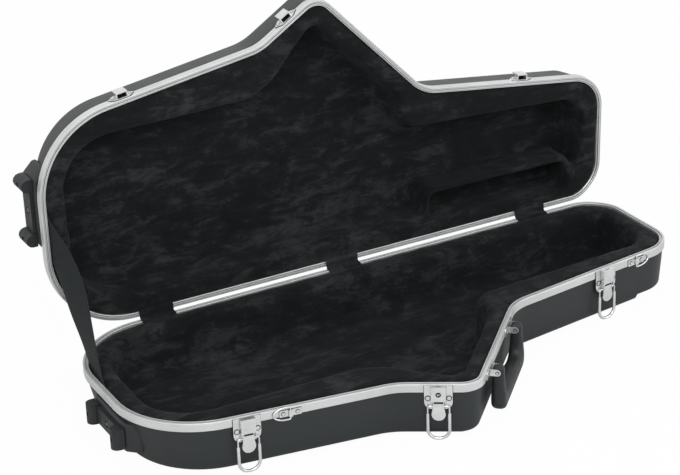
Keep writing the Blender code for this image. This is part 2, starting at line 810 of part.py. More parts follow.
def build_hinges():
    half = HINGE_LENGTH / 2
    third = HINGE_LENGTH / 3
    base_leaf = hinge_leaf([(-half, -third / 2 - FIT / 2), (third / 2 + FIT / 2, half)], -1)
    lid_leaf = hinge_leaf([(-third / 2 + FIT / 2, third / 2 - FIT / 2)], 1)
    pin = rod(HINGE_PIN_RADIUS, -half, half)
    places = (*HINGE_ALONG, INNER_LENGTH - HINGE_FROM_NECK)
    for number, along in enumerate(places, 1):
        axis = Matrix.Translation(Vector((world(along, 0, 0).x, HINGE_AXIS.y, HINGE_AXIS.z)))
        add_part(f"hinge_{number}_base_leaf", base_leaf.copy(), NICKEL, axis)
        add_part(f"hinge_{number}_lid_leaf", lid_leaf.copy(), NICKEL, axis @ LID_TILT)
        add_part(f"hinge_{number}_pin", pin.copy(), NICKEL, axis)
        build_cover(number, along)


def build_cover(number, along):
    """The plush flap that bridges the two linings over a hinge."""
    back = HINGE_SETBACK - SEAM
    drop = LINING_RECESS
    face = -back + COVER_THICK + FIT
    path = [
        (COVER_REACH, -drop + FIT),
        (2 * SLACK, -drop + FIT),
        (-SEAM, FIT),
        (-VALANCE_WIDTH + COVER_FOLD, FIT),
        (face, HINGE_SETBACK - VALANCE_WIDTH + COVER_FOLD),
        (face + COVER_FOLD / 4, HINGE_SETBACK),
        (face - drop, HINGE_SETBACK + 2 * COVER_FOLD),
        (face - drop, HINGE_SETBACK + COVER_REACH),
    ]
    count = len(path)
    upper = []
    for k, (out, height) in enumerate(path):
        before = Vector(path[max(k - 1, 0)])
        after = Vector(path[min(k + 1, count - 1)])
        way = (after - before).normalized()
        upper.append((out + way.y * COVER_THICK, height - way.x * COVER_THICK))
    section = [(ORIGIN_OUT - out, height + RIM_HEIGHT) for out, height in path + upper[::-1]]
    centre = world(along, 0, 0).x
    mesh = prism(section, centre - COVER_WIDTH / 2, centre + COVER_WIDTH / 2, "X")
    add_part(f"hinge_{number}_cover", mesh, PLUSH)


def strap_edge(base_spot, top_spot, side, bow):
    """One edge of the stay strap, from inside the base to inside the lid, bowed towards the neck."""
    inset = STRAP_INSET + STRAP_THICK / 2
    foot = base_spot @ Vector((side * (STRAP_BASE_FAR - STRAP_BASE_NEAR) / 2, inset, 0))
    head = top_spot @ Vector((side * (STRAP_LID_FAR - STRAP_LID_NEAR) / 2, inset, 0))
    run = head - foot
    base_normal = base_spot.to_3x3() @ Vector((0, 1, 0))
    top_normal = top_spot.to_3x3() @ Vector((0, 1, 0))
    down = (run - base_normal * run.dot(base_normal)).normalized() * STRAP_SINK
    up = (run - top_normal * run.dot(top_normal)).normalized() * STRAP_SINK
    steps = 12
    row = [foot - down]
    for step in range(steps + 1):
        part = step / steps
        slack = bow * math.sin(math.pi * part**STRAP_BOW_SKEW)
        row.append(foot.lerp(head, part) + Vector((slack, 0, 0)))
    row.append(head + up)
    return row


def build_strap():
    """The web stay between the bell ends, tucked behind both valances. Its front edge hangs slack."""
    base_spot = chord_spot(STRAP_BASE_NEAR, STRAP_BASE_FAR)
    top_spot = OPENED @ Matrix.Translation((0, 0, SEAM)) @ chord_spot(STRAP_LID_NEAR, STRAP_LID_FAR)
    rows = [strap_edge(base_spot, top_spot, -1, 0.0), strap_edge(base_spot, top_spot, 1, STRAP_BOW)]
    rings = []
    count = len(rows[0])
    for k in range(count):
        near, far = rows[0][k], rows[1][k]
        after = min(k + 1, count - 1)
        before = max(k - 1, 0)
        run = (rows[0][after] + rows[1][after] - rows[0][before] - rows[1][before]).normalized()
        thick = (far - near).cross(run).normalized() * STRAP_THICK / 2
        rings.append([near - thick, far - thick, far + thick, near + thick])
    add_part("stay_strap", loft(rings, True, True), WEB, smooth=False)
    inner = STRAP_INSET + STRAP_THICK + FIT
    half = STRAP_PLATE_LENGTH / 2
    low = -STRAP_PLATE_DROP - STRAP_PLATE_HEIGHT
    base_plate = box((-half, inner, low), (half, inner + STRAP_PLATE_THICK, -STRAP_PLATE_DROP))
    lid_plate = box((-half, inner, STRAP_PLATE_DROP), (half, inner + STRAP_PLATE_THICK, -low))
    add_part("strap_plate_base", base_plate, NICKEL, base_spot)
    add_part("strap_plate_lid", lid_plate, NICKEL, top_spot)


def plate_outline(width, height, corner):
    """A plate hanging from the rim with a straight top and round lower corners."""
    half = width / 2
    points = [(half, -PLATE_START), (-half, -PLATE_START)]
    steps = 5
    for side in (-1, 1):
        for step in range(steps + 1):
            part = step / steps if side < 0 else 1 - step / steps
            angle = math.pi / 2 * part
            a = side * (half - corner + corner * math.cos(angle))
            c = -height + corner - corner * math.sin(angle)
            points.append((a, c))
    return points


def latch_plate_mesh(locked):
    """The plate and its raised housing, open at the bottom and slotted at the top."""
    plate = prism(plate_outline(PLATE_WIDTH, PLATE_HEIGHT, PLATE_ROUND), -PLATE_FACE, -PLATE_BACK)
    half = HOUSING_WIDTH / 2
    swing = HOUSING_FACE - LEVER_OUT
    root = -PLATE_FACE + SINK
    section = [(root, -PLATE_START), (-HOUSING_FACE, -PLATE_START)]
    steps = 5
    for step in range(steps + 1):
        angle = math.asin(HOUSING_EAR_DROP / swing) * step / steps
        out = -LEVER_OUT - swing * math.cos(angle)
        section.append((out, -LEVER_PIVOT_DROP - swing * math.sin(angle)))
    section.append((root, -LEVER_PIVOT_DROP - HOUSING_EAR_DROP))
    housing = prism(section, -half, half, "X")
    top = -PLATE_FACE - SCREW_HEAD_HEIGHT
    heads = [
        rod(SCREW_HEAD_RADIUS, top, root, "Y", (side * SCREW_SPACING / 2, -SCREW_DROP))
        for side in (-1, 1)
    ]
    room = half - HOUSING_WALL
    below = -LEVER_PIVOT_DROP - HOUSING_DEPTH - CLEAR
    skin = -HOUSING_FACE + HOUSING_WALL
    inside = box((-room, skin, below), (room, -PLATE_FACE, -PLATE_START - HOUSING_WALL))
    window = box((-room, -HOUSING_FACE - CLEAR, below), (room, skin + CLEAR / 2, -HOUSING_FRONT_DROP))
    slot = box(
        (-HOUSING_SLOT_WIDTH / 2, -PLATE_FACE - CLEAR - HOUSING_SLOT_DEPTH, -2 * CLEAR),
        (HOUSING_SLOT_WIDTH / 2, -PLATE_FACE - CLEAR, 2 * CLEAR),
    )
    pivot = (-LEVER_OUT, -LEVER_PIVOT_DROP)
    bore = rod(LEVER_PIN_RADIUS + FIT, -half - CLEAR, half + CLEAR, "X", pivot, 12)
    made = combined(plate, joined=[housing, *heads])
    cuts = [inside, window, slot, bore]
    if locked:
        ends = (-HOUSING_FACE - CLEAR, skin + CLEAR)
        cuts.append(rod(LOCK_RADIUS + FIT, *ends, "Y", (0, -LOCK_DROP), 20))
    return combined(made, cut=cuts)


def lever_mesh():
    """The lever about its pin: a tongue that flares to a round end, two cheeks and a hub."""
    face = LEVER_FACE_LIFT
    back = face - LEVER_TONGUE_THICK
    top = LEVER_PIVOT_DROP - LEVER_TOP_DROP
    end = LEVER_PIVOT_DROP - LEVER_DROP
    half = LEVER_WIDTH / 2
    wide = LEVER_END_WIDTH / 2
    points = [(half, top), (-half, top), (-half, top - LEVER_SHOULDER)]
    steps = 8
    centre = end + wide
    for step in range(steps + 1):
        angle = math.pi + math.pi * step / steps
        points.append((wide * math.cos(angle), centre + wide * math.sin(angle)))
    points.append((half, top - LEVER_SHOULDER))
    tongue = prism(points, -face, -back)
    bail = LEVER_PIVOT_DROP - BAIL_PIVOT_DROP
    cheek_low = bail - LEVER_CHEEK_BELOW
    flat = LEVER_HUB_RADIUS * math.cos(math.pi / 4)
    cheeks = []
    for side in (-1, 1):
        ends = sorted((side * half, side * (half - LEVER_CHEEK)))
        section = [
            (-back - SINK, top),
            (-back - SINK, cheek_low),
            (LEVER_HUB_RADIUS - FIT, cheek_low),
            (LEVER_HUB_RADIUS, -flat),
            (flat, flat),
            (-flat, flat),
        ]
        cheeks.append(prism(section, ends[0], ends[1], "X"))
    hub = rod(LEVER_HUB_RADIUS, -half, half, "X", (0, 0), 14)
    made = combined(tongue, joined=[*cheeks, hub])
    ends = (-half - CLEAR, half + CLEAR)
    pin_bore = rod(LEVER_PIN_RADIUS + LEVER_PLAY, *ends, "X", (0, 0), 12)
    bail_bore = rod(BAIL_WIRE_RADIUS + LEVER_PLAY, *ends, "X", (0, bail), 10)
    return combined(made, cut=[pin_bore, bail_bore])


def wire_mesh(points, closed=False, sides=1):
    """A round wire along points of (place, radius), as one closed mesh."""
    merge = 0.00001
    curve = bpy.data.curves.new("wire", "CURVE")
    curve.dimensions = "3D"
    curve.bevel_depth = 1.0
    curve.bevel_resolution = sides
    curve.use_fill_caps = not closed
    curve.render_resolution_u = 0
    spline = curve.splines.new("POLY")
    spline.points.add(len(points) - 1)
    for spot, (place, radius) in zip(spline.points, points):
        spot.co = (*place, 1.0)
        spot.radius = radius
    spline.use_cyclic_u = closed
    holder = bpy.data.objects.new("wire", curve)
    bpy.context.scene.collection.objects.link(holder)
    graph = bpy.context.evaluated_depsgraph_get()
    mesh = bpy.data.meshes.new_from_object(holder.evaluated_get(graph))
    bpy.data.objects.remove(holder, do_unlink=True)
    work = bmesh.new()
    work.from_mesh(mesh)
    bmesh.ops.remove_doubles(work, verts=work.verts, dist=merge)
    bmesh.ops.recalc_face_normals(work, faces=work.faces)
    work.to_mesh(mesh)
    work.free()
    return mesh


def bail_mesh():
    """The wire loop about its pivot: thin ends turned into the lever, a thick sleeve round the U."""
    half = BAIL_WIDTH / 2
    inner = LEVER_WIDTH / 2 - LEVER_CHEEK
    turn = BAIL_TURN
    corner = turn * (1 - math.cos(math.pi / 4))
    thin = BAIL_WIRE_RADIUS
    thick = BAIL_SLEEVE_RADIUS
    side = [((inner, 0.0), thin), ((half - turn, 0.0), thin)]
    side.append(((half - corner, -corner), thin))
    side.append(((half, -turn), thin))
    side.append(((half, -BAIL_SLEEVE_START), thin))
    side.append(((half, -BAIL_SLEEVE_START - SLACK), thick))
    depth = BAIL_LENGTH - BAIL_SLEEVE_RADIUS
    bend = BAIL_CORNER
    side.append(((half, -depth + bend), thick))
    steps = 5
    for step in range(1, steps + 1):
        angle = math.pi / 2 * step / steps
        a = half - bend + bend * math.cos(angle)
        c = -depth + bend - bend * math.sin(angle)
        side.append(((a, c), thick))
    other = [((-a, c), radius) for (a, c), radius in reversed(side)]
    return wire_mesh([((a, 0.0, c), radius) for (a, c), radius in side + other])


def lock_mesh():
    """The lock's cylinder with its keyway, about its own axis."""
    body = rod(LOCK_RADIUS, -LOCK_PROUD, LOCK_LENGTH - LOCK_PROUD, "Y", (0, 0), 20)
    half = KEYWAY_WIDTH / 2
    reach = KEYWAY_LENGTH / 2
    slot = box((-half, -CLEAR, -reach), (half, KEYWAY_DEPTH, reach))
    return combined(body, cut=[slot])


def build_latches():
    lever = lever_mesh()
    bail = bail_mesh()
    pin = rod(LEVER_PIN_RADIUS, -HOUSING_WIDTH / 2, HOUSING_WIDTH / 2, "X", (0, 0), 12)
    plain = latch_plate_mesh(False)
    locked = latch_plate_mesh(True)
    for name, spot, place in LATCHES:
        plate = locked if name == "apex" else plain.copy()
        add_part(f"latch_{name}_plate", plate, NICKEL, spot)
        pivot = spot @ Matrix.Translation((0, -LEVER_OUT, -LEVER_PIVOT_DROP))
        add_part(f"latch_{name}_pin", pin.copy(), NICKEL, pivot)
        add_part(f"latch_{name}_lever", lever.copy(), NICKEL, pivot)
        hang = spot @ Matrix.Translation((0, -LEVER_OUT, -BAIL_PIVOT_DROP))
        add_part(f"latch_{name}_bail", bail.copy(), NICKEL, hang)
        if name == "apex":
            face = spot @ Matrix.Translation((0, -HOUSING_FACE, -LOCK_DROP))
            add_part("lock_cylinder", lock_mesh(), NICKEL, face)


def catch_mesh():
    """A lid catch: a pointed plate with a raised hook that the bail's loop goes over."""
    half = CATCH_WIDTH / 2
    top = CATCH_START + CATCH_HEIGHT
    middle = (CATCH_START + top) / 2
    hook = CATCH_HOOK_WIDTH / 2
    flank = hook + CATCH_FLANK
    points = [
        (-half, middle),
        (-flank, CATCH_START),
        (flank, CATCH_START),
        (half, middle),
        (flank, top),
        (-flank, top),
    ]
    plate = prism(points, -PLATE_FACE, -PLATE_BACK)
    reach = PLATE_FACE + CATCH_HOOK_REACH
    low = CATCH_HOOK_START
    high = low + CATCH_HOOK_HEIGHT
    root = -PLATE_FACE + SINK
    skin = CATCH_LIP_THICK
    section = [
        (root, low),
        (-reach, low),
        (-reach, high + CATCH_LIP_HEIGHT),
        (-reach + skin, high + CATCH_LIP_HEIGHT),
        (-reach + skin, high),
        (root, high),
    ]
    block = prism(section, -hook, hook, "X")
    hollow = box((-hook + skin, -reach + skin, low - CLEAR), (hook - skin, -PLATE_FACE, high - skin))
    ends = (-PLATE_FACE - CATCH_RIVET_HEIGHT, root)
    rivets = [
        rod(CATCH_RIVET_RADIUS, *ends, "Y", (side * (half - CATCH_RIVET_INSET), middle), 12)
        for side in (-1, 1)
    ]
    return combined(plate, joined=[combined(block, cut=[hollow]), *rivets])


def build_catches():
    catch = catch_mesh()
    for name, spot, (wall, along) in LATCHES:
        add_part(f"catch_{name}", catch.copy(), NICKEL, lid_spot(wall, along=along))


def clip_mesh(side):
    """A strap clip: a strip with a raised channel over the ring's bar and a rivet at each end."""
    bar = RING_WIRE_RADIUS + FIT
    inner = bar + CLIP_THICK
    reach = CLIP_LENGTH / 2
    tail = -reach
    face = PLATE_BACK + CLIP_THICK
    lift = PLATE_BACK + FIT + 2 * RING_WIRE_RADIUS + FIT
    section = [
        (tail, -PLATE_BACK),
        (tail, -face),
        (-inner, -face),
        (-inner, -lift - CLIP_THICK),
        (inner, -lift - CLIP_THICK),
        (inner, -face),
        (reach, -face),
        (reach, -PLATE_BACK),
        (bar, -PLATE_BACK),
        (bar, -lift),
        (-bar, -lift),
        (-bar, -PLATE_BACK),
    ]
    strip = prism([(side * a, b) for a, b in section], -CLIP_HEIGHT / 2, CLIP_HEIGHT / 2, "Z")
    rivets = []
    for place in (reach - CLIP_RIVET_INSET, tail + CLIP_RIVET_INSET):
        low = -face - CLIP_RIVET_HEIGHT
        rivets.append(rod(CLIP_RIVET_RADIUS, low, -face + SINK, "Y", (side * place, 0), 14))
    return combined(strip, joined=rivets)


def ring_mesh(side):
    """A D ring about its bar, which stands upright in the clip."""
    half = RING_HEIGHT / 2
    width = RING_WIDTH
    radius = RING_WIRE_RADIUS
    steps = 10
    bend = width * RING_BEND
    points = [((0.0, 0.0, -half), radius), ((0.0, 0.0, 0.0), radius), ((0.0, 0.0, half), radius)]
    flat = width - bend
    for step in range(steps + 1):
        angle = math.pi / 2 - math.pi * step / steps
        a = flat + bend * math.cos(angle)
        c = half * math.sin(angle)
        points.append(((side * a, 0.0, c), radius))
    return wire_mesh(points, closed=True, sides=2)


def build_rings():
    places = (
        ("bell", FRONT_WALL, RING_BELL_ALONG, -1),
        ("neck", NECK_WALL, INNER_LENGTH - RING_FROM_NECK, 1),
    )
    for name, wall, along, side in places:
        spot = wall_spot(wall, along=along, height=-RING_DROP)
        add_part(f"strap_clip_{name}", clip_mesh(side), NICKEL, spot)
        bar = PLATE_BACK + FIT + RING_WIRE_RADIUS
        add_part(f"strap_ring_{name}", ring_mesh(side), NICKEL, spot @ Matrix.Translation((0, -bar, 0)))


def handle_frame():
    """The grip's flat shape: two legs that hang from the pins and a bar between their feet."""
    half = HANDLE_SPAN / 2
    leg = HANDLE_LEG_WIDTH / 2
    low = -HANDLE_REACH
    bar_top = low + HANDLE_GRIP_HEIGHT
    corner = HANDLE_CORNER
    outer = [(half + leg, HANDLE_TOP), (half + leg, low + corner)]
    steps = 4
    for step in range(1, steps + 1):
        angle = math.pi / 2 * step / steps
        a = half + leg - corner * (1 - math.cos(angle))
        outer.append((a, low + corner - corner * math.sin(angle)))
    inner = []
    for step in range(steps + 1):
        angle = math.pi / 2 * step / steps
        a = half - leg - corner * (1 - math.sin(angle))
        inner.append((a, bar_top + corner * (1 - math.cos(angle))))
    inner.append((half - leg, HANDLE_TOP))
    points = [(-a, c) for a, c in reversed(inner)] + inner
    points += outer + [(-a, c) for a, c in reversed(outer)]
    return prism(points, -HANDLE_DEPTH / 2, HANDLE_DEPTH / 2)


def grip_swell():
    """The bar's fuller back for the fingers, deepest in the middle, as a loft along the bar."""
    half = HANDLE_SPAN / 2 - HANDLE_LEG_WIDTH / 2
    middle = HANDLE_GRIP_HEIGHT / 2 - HANDLE_REACH
    steps = 8
    rings = []
    for step in range(steps + 1):
        part = step / steps
        bulge = GRIP_SWELL * math.sin(math.pi * part)
        back = HANDLE_DEPTH / 2 - HANDLE_ROUND / 2 + bulge
        height = HANDLE_GRIP_HEIGHT - HANDLE_ROUND
        section = rounded(2 * back, height, HANDLE_ROUND)
        along = -half + 2 * half * part
        rings.append([Vector((along, max(b, 0.0), c + middle)) for b, c in section])
    return loft(rings, True, True)


def handle_mesh():
    """The moulded grip about its pins, with round edges and a bore through each leg."""
    body = bpy.data.objects.new("work", handle_frame())
    bpy.context.scene.collection.objects.link(body)
    round_off = body.modifiers.new("round", "BEVEL")
    round_off.width = HANDLE_ROUND
    round_off.segments = 3
    round_off.limit_method = "ANGLE"
    round_off.angle_limit = math.radians(50)
    graph = bpy.context.evaluated_depsgraph_get()
    made = bpy.data.meshes.new_from_object(body.evaluated_get(graph))
    bpy.data.objects.remove(body, do_unlink=True)
    bores = []
    for side in (-1, 1):
        middle = side * HANDLE_SPAN / 2
        reach = HANDLE_LEG_WIDTH / 2 + CLEAR
        bores.append(rod(HANDLE_PIN_RADIUS + FIT, middle - reach, middle + reach, "X", (0, 0), 14))
    return combined(made, joined=[grip_swell()], cut=bores)


def bracket_mesh():
    """A handle bracket about its leg: a back plate with two ears that carry the pin."""
    half = BRACKET_WIDTH / 2
    middle = -BRACKET_START - BRACKET_HEIGHT / 2
    points = [(a, b + middle) for a, b in rounded(BRACKET_WIDTH, BRACKET_HEIGHT, BRACKET_CORNER)]
    face = -PLATE_BACK - BRACKET_THICK
    plate = prism(points, face, -PLATE_BACK)
    leg = HANDLE_LEG_WIDTH / 2 + EAR_GAP
    ears = []
    tall = EAR_HEIGHT / 2
    steps = 6
    for side in (-1, 1):
        section = [(face + SINK, -HANDLE_PIN_DROP + tall)]
        for step in range(steps + 1):
            angle = math.pi / 2 + math.pi * step / steps
            out = -HANDLE_PIN_OUT + tall * math.cos(angle)
            section.append((out, -HANDLE_PIN_DROP + tall * math.sin(angle)))
        section.append((face + SINK, -HANDLE_PIN_DROP - tall))
        ends = sorted((side * leg, side * (leg + BRACKET_THICK)))
        ears.append(prism(section, ends[0], ends[1], "X"))
    pivot = (-HANDLE_PIN_OUT, -HANDLE_PIN_DROP)
    bore = rod(HANDLE_PIN_RADIUS + FIT, -half, half, "X", pivot, 14)
    rivets = []
    for side in (-1, 1):
        place = (side * (half - 2 * BRACKET_RIVET_RADIUS), middle)
        ends = (face - BRACKET_RIVET_HEIGHT, face + SINK)
        rivets.append(rod(BRACKET_RIVET_RADIUS, *ends, "Y", place, 12))
    return combined(plate, joined=[*ears, *rivets], cut=[bore])


def build_handle():
    middle = wall_spot(HANDLE_WALL) @ Matrix.Translation((HANDLE_SHIFT, 0, 0))
    pivot = middle @ Matrix.Translation((0, -HANDLE_PIN_OUT, -HANDLE_PIN_DROP))
    add_part("handle_grip", handle_mesh(), RUBBER, pivot)
    bracket = bracket_mesh()
    reach = HANDLE_LEG_WIDTH / 2 + EAR_GAP + BRACKET_THICK + SLACK
    pin = rod(HANDLE_PIN_RADIUS, -reach, reach, "X", (0, 0), 14)
    for name, side in (("apex", -1), ("neck", 1)):
        slide = Matrix.Translation((side * HANDLE_SPAN / 2, 0, 0))
        add_part(f"handle_bracket_{name}", bracket.copy(), NICKEL, middle @ slide)
        add_part(f"handle_pin_{name}", pin.copy(), NICKEL, pivot @ slide)


def foot_mesh():
    """An end foot about its pad: two posts with round noses joined by a plate with a screw seat."""
    seat = FOOT_PAD_OUT + FIT
    post = FOOT_POST_WIDTH / 2
    tall = FOOT_POST_HEIGHT / 2
    nose = seat + FOOT_POST_REACH
    steps = 6
    section = [(post, -seat)]
    for step in range(steps + 1):
        angle = math.pi * step / steps
        section.append((post * math.cos(angle), -nose + post - post * math.sin(angle)))
    section.append((-post, -seat))
    posts = []
    holes = []
    for side in (-1, 1):
        shift = side * FOOT_SPREAD / 2
        moved = [(a + shift, b) for a, b in section]
        posts.append(prism(moved, -tall, tall, "Z"))
        ends = (-nose - CLEAR, -nose + FOOT_HOLE_DEPTH)
        holes.append(rod(FOOT_HOLE_RADIUS, *ends, "Y", (shift, 0), 12))
    web = box(
        (-FOOT_SPREAD / 2, -seat - FOOT_PLATE_THICK, -FOOT_PLATE_HEIGHT / 2),
        (FOOT_SPREAD / 2, -seat, FOOT_PLATE_HEIGHT / 2),
    )
    top = -seat - FOOT_PLATE_THICK
    holes.append(rod(FOOT_SCREW_RADIUS + FIT, top - CLEAR, top + FOOT_SCREW_SEAT, "Y", (0, 0), 16))
    return combined(posts[0], joined=[web, posts[1]], cut=holes)


def foot_screw_mesh():
    """A foot's screw head about the foot's pad, sunk in its seat, with a driver slot."""
    top = -FOOT_PAD_OUT - FIT - FOOT_PLATE_THICK
    head = rod(FOOT_SCREW_RADIUS, top + SINK, top + FOOT_SCREW_SEAT - FIT, "Y", (0, 0), 16)
    half = FOOT_SCREW_SLOT / 2
    reach = FOOT_SCREW_RADIUS * math.cos(math.pi / 4)
    slot = box((-half, top, -reach), (half, top + FOOT_SCREW_SEAT / 2, reach))
    return combined(head, cut=[slot])


def build_feet():
    foot = foot_mesh()
    screw = foot_screw_mesh()
    base = wall_spot(BELL_WALL, out=FOOT_OUT, height=-FOOT_CENTRE_DEPTH)
    lid = lid_spot(BELL_WALL, out=FOOT_OUT) @ Matrix.Translation((0, 0, FOOT_CENTRE_DEPTH))
    for half, spot in (("base", base), ("lid", lid)):
        add_part(f"{half}_end_foot", foot.copy(), RUBBER, spot)
        add_part(f"{half}_foot_screw", screw.copy(), NICKEL, spot)


build_shells()
build_valances()
build_linings()
build_hinges()
build_strap()
build_latches()
build_catches()
build_rings()
build_handle()
build_feet()
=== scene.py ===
"""Looks of the open tenor saxophone case: finishes, soft linings, light and camera.

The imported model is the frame. Rigid pieces whose shape is right keep it and get softened edges and
a finish; the shells, valances, linings, strap, flaps, handle and wires are modelled more finely.
"""

from math import atan2, copysign, cos, pi, radians, sin, tan

import bmesh
import bpy
from mathutils import Matrix, Vector, noise

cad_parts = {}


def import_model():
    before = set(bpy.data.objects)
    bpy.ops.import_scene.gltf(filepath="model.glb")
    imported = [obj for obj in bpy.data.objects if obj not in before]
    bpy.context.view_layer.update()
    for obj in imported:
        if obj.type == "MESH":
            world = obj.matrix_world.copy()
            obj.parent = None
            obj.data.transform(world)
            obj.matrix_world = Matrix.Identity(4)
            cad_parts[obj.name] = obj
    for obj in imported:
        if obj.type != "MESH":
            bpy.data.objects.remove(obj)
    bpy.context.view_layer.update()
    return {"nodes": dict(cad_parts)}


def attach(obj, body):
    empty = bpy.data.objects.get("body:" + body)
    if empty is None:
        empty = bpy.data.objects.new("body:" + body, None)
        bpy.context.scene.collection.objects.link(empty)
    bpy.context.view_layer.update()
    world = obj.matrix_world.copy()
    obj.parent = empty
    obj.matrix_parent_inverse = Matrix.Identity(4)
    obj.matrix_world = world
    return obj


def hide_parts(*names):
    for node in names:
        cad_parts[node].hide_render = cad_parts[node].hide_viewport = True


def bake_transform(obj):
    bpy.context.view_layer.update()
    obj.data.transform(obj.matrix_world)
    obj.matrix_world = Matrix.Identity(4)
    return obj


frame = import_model()

# Sizes shared with the frame, in metres
RIM_HEIGHT = 0.0785
ORIGIN_ALONG = 0.40
ORIGIN_OUT = 0.14
SEAM = 0.0004
FIT = 0.0003
HINGE_SETBACK = 0.0099
LID_OPEN = 88.0
SHELL_OUT = 0.0054
SHELL_EDGE = 0.0043
SHELL_WALL = 0.003
BOTTOM_ROUND = 0.008
STEP_HEIGHT = 0.005
STEP_RUN = 0.003
DRAFT_START = 0.009
VALANCE_WIDTH = 0.0074
VALANCE_DROP = 0.0115
GROOVE_OUT = 0.0030
PLATE_BACK = VALANCE_WIDTH + FIT
PLATE_FACE = PLATE_BACK + 0.0012

# Corners of the plan at the valances' inner edge: (along, out) and radius
PLAN = (
    ((0.004, 0.0), 0.112),
    ((-0.002, 0.284), 0.110),
    ((0.316, 0.332), 0.072),
    ((0.402, 0.387), 0.024),
    ((0.564, 0.218), 0.071),
    ((0.860, 0.176), 0.0485),
    ((0.860, 0.0275), 0.050),
    ((0.831, 0.0), 0.036),
)
BELL_WALL, FRONT_WALL, APEX_WALL, HANDLE_WALL, NECK_WALL = range(5)
NO_MOVE = (0.0,) * len(PLAN)
LEDGES = (0.024, 0.002, 0.002, 0.002, 0.002, 0.018, 0.014, 0.002)

# The two halves: the way their depth runs, their depth and the draft of each wall in degrees
BASE_HALF = (-1, 0.0735, (14.0, 5.5, 3.5, 5.0, 4.0, 5.0, 5.0, 5.0))
LID_HALF = (1, 0.0660, (17.5, 12.0, 12.0, 7.0, 9.5, 7.0, 6.0, 5.0))
ARC_STEP = radians(3.0)
SMALLEST_RADIUS = 0.002
LONGEST_TANGENT = 0.49


def world(along, out, height):
    """A point of the case's plan at a height above the base's rim, in the shared frame."""
    return Vector((along - ORIGIN_ALONG, ORIGIN_OUT - out, height + RIM_HEIGHT))


HINGE_AXIS = world(ORIGIN_ALONG, -HINGE_SETBACK, SEAM / 2)
LID_FRAME = (
    Matrix.Translation(HINGE_AXIS)
    @ Matrix.Rotation(radians(-LID_OPEN), 4, "X")
    @ Matrix.Translation(Vector((0, 0, SEAM)) - HINGE_AXIS)
)


def wall_way(wall):
    """The direction in which a wall of the plan runs."""
    start = Vector(PLAN[wall][0])
    end = Vector(PLAN[(wall + 1) % len(PLAN)][0])
    return (end - start).normalized()


def drawn_in(outward, depth, drafts, ledges=NO_MOVE):
    """How far each wall lies outward of the plan at a depth."""
    drop = max(0.0, depth - DRAFT_START)
    return [outward - drop * tan(radians(draft)) - ledge for draft, ledge in zip(drafts, ledges)]


def outline(moves=NO_MOVE):
    """The plan with each wall moved outward by its own distance and finely stepped corners."""
    count = len(PLAN)
    ways = [wall_way(k) for k in range(count)]
    normals = [Vector((-way.y, way.x)) for way in ways]
    corners = []
    for k in range(count):
        walls = Matrix((normals[k - 1], normals[k]))
        move = walls.inverted() @ Vector((moves[k - 1], moves[k]))
        corners.append(Vector(PLAN[k][0]) + move)
    points = []
    for k in range(count):
        here = corners[k]
        turn = ways[k - 1].angle_signed(ways[k])
        grown = (moves[k - 1] + moves[k]) / 2
        radius = max(PLAN[k][1] + copysign(1.0, turn) * grown, SMALLEST_RADIUS)
        room = min((here - corners[k - 1]).length, (corners[(k + 1) % count] - here).length)
        tangent = min(radius * tan(abs(turn) / 2), LONGEST_TANGENT * room)
        radius = tangent / tan(abs(turn) / 2)
        side = normals[k - 1] * copysign(1.0, turn)
        centre = here - ways[k - 1] * tangent - side * radius
        steps = max(2, round(abs(turn) / ARC_STEP))
        for step in range(steps + 1):
            spoke = side * radius
            spoke.rotate(Matrix.Rotation(-turn * step / steps, 2))
            points.append(centre + spoke)
    return points


def level_outline(outward):
    """The plan with all its walls moved outward by one distance."""
    return outline((outward,) * len(PLAN))


def facing(way, spot, height):
    """A frame at a spot of the plan whose X runs along a way."""
    turn = Matrix.Rotation(atan2(-way.y, way.x), 4, "Z")
    return Matrix.Translation(world(spot.x, spot.y, height)) @ turn


def wall_spot(wall, along=None, out=None, height=0.0):
    """A frame on a wall: X to the right seen from outside, -Y outward, Z up."""
    start = Vector(PLAN[wall][0])
    way = wall_way(wall)
    if along is not None:
        spot = start + way * ((along - start.x) / way.x)
    elif out is not None:
        spot = start + way * ((out - start.y) / way.y)
    else:
        spot = (start + Vector(PLAN[(wall + 1) % len(PLAN)][0])) / 2
    return facing(way, spot, height)


LATCH_SPOTS = {
    "bell": (FRONT_WALL, 0.1180),
    "apex": (APEX_WALL, 0.3620),
    "neck": (NECK_WALL, 0.7285),
}
LEVER_OUT = PLATE_FACE + 0.0028
LEVER_DROP = 0.023
BAIL_DROP = 0.0285
FOOT_OUT = 0.168

# Seats raised on the shells: width, start and end depth, and reach; the foot's has tapered ends too
LATCH_PAD = (0.033, 0.0118, 0.034, VALANCE_WIDTH)
FOOT_PAD = (0.120, 0.019, 0.059, 0.0068, 0.014)

# Rounded edges: the angle over which an edge counts as sharp, in degrees
SHARP_EDGE = 35.0
SHARP_NODE_EDGE = 38.0
SHARP_CLOTH_EDGE = 60.0
SHARP_RIM_EDGE = 30.0
TURNED_SIDES = 32


def clamped(share):
    return min(1.0, max(0.0, share))


def with_normals(mesh):
    """Each vertex with its normal as it is before any of them moves."""
    return [(vertex, vertex.normal.copy()) for vertex in mesh.vertices]


def link(obj):
    """The object, now in the scene."""
    bpy.context.scene.collection.objects.link(obj)
    return obj


def working(mesh):
    """A passing object for modifiers to work on."""
    return link(bpy.data.objects.new("work", mesh))


def piece(name, mesh, material, body, matrix=None, angle=SHARP_EDGE):
    """A new object with its finish, placed in the frame; it rides on a body if given one."""
    obj = link(bpy.data.objects.new(name, mesh))
    if matrix is not None:
        mesh.transform(matrix)
    mesh.materials.clear()
    mesh.materials.append(material)
    mesh.shade_smooth()
    mesh.set_sharp_from_angle(angle=radians(angle))
    if body is not None:
        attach(obj, body)
    return obj


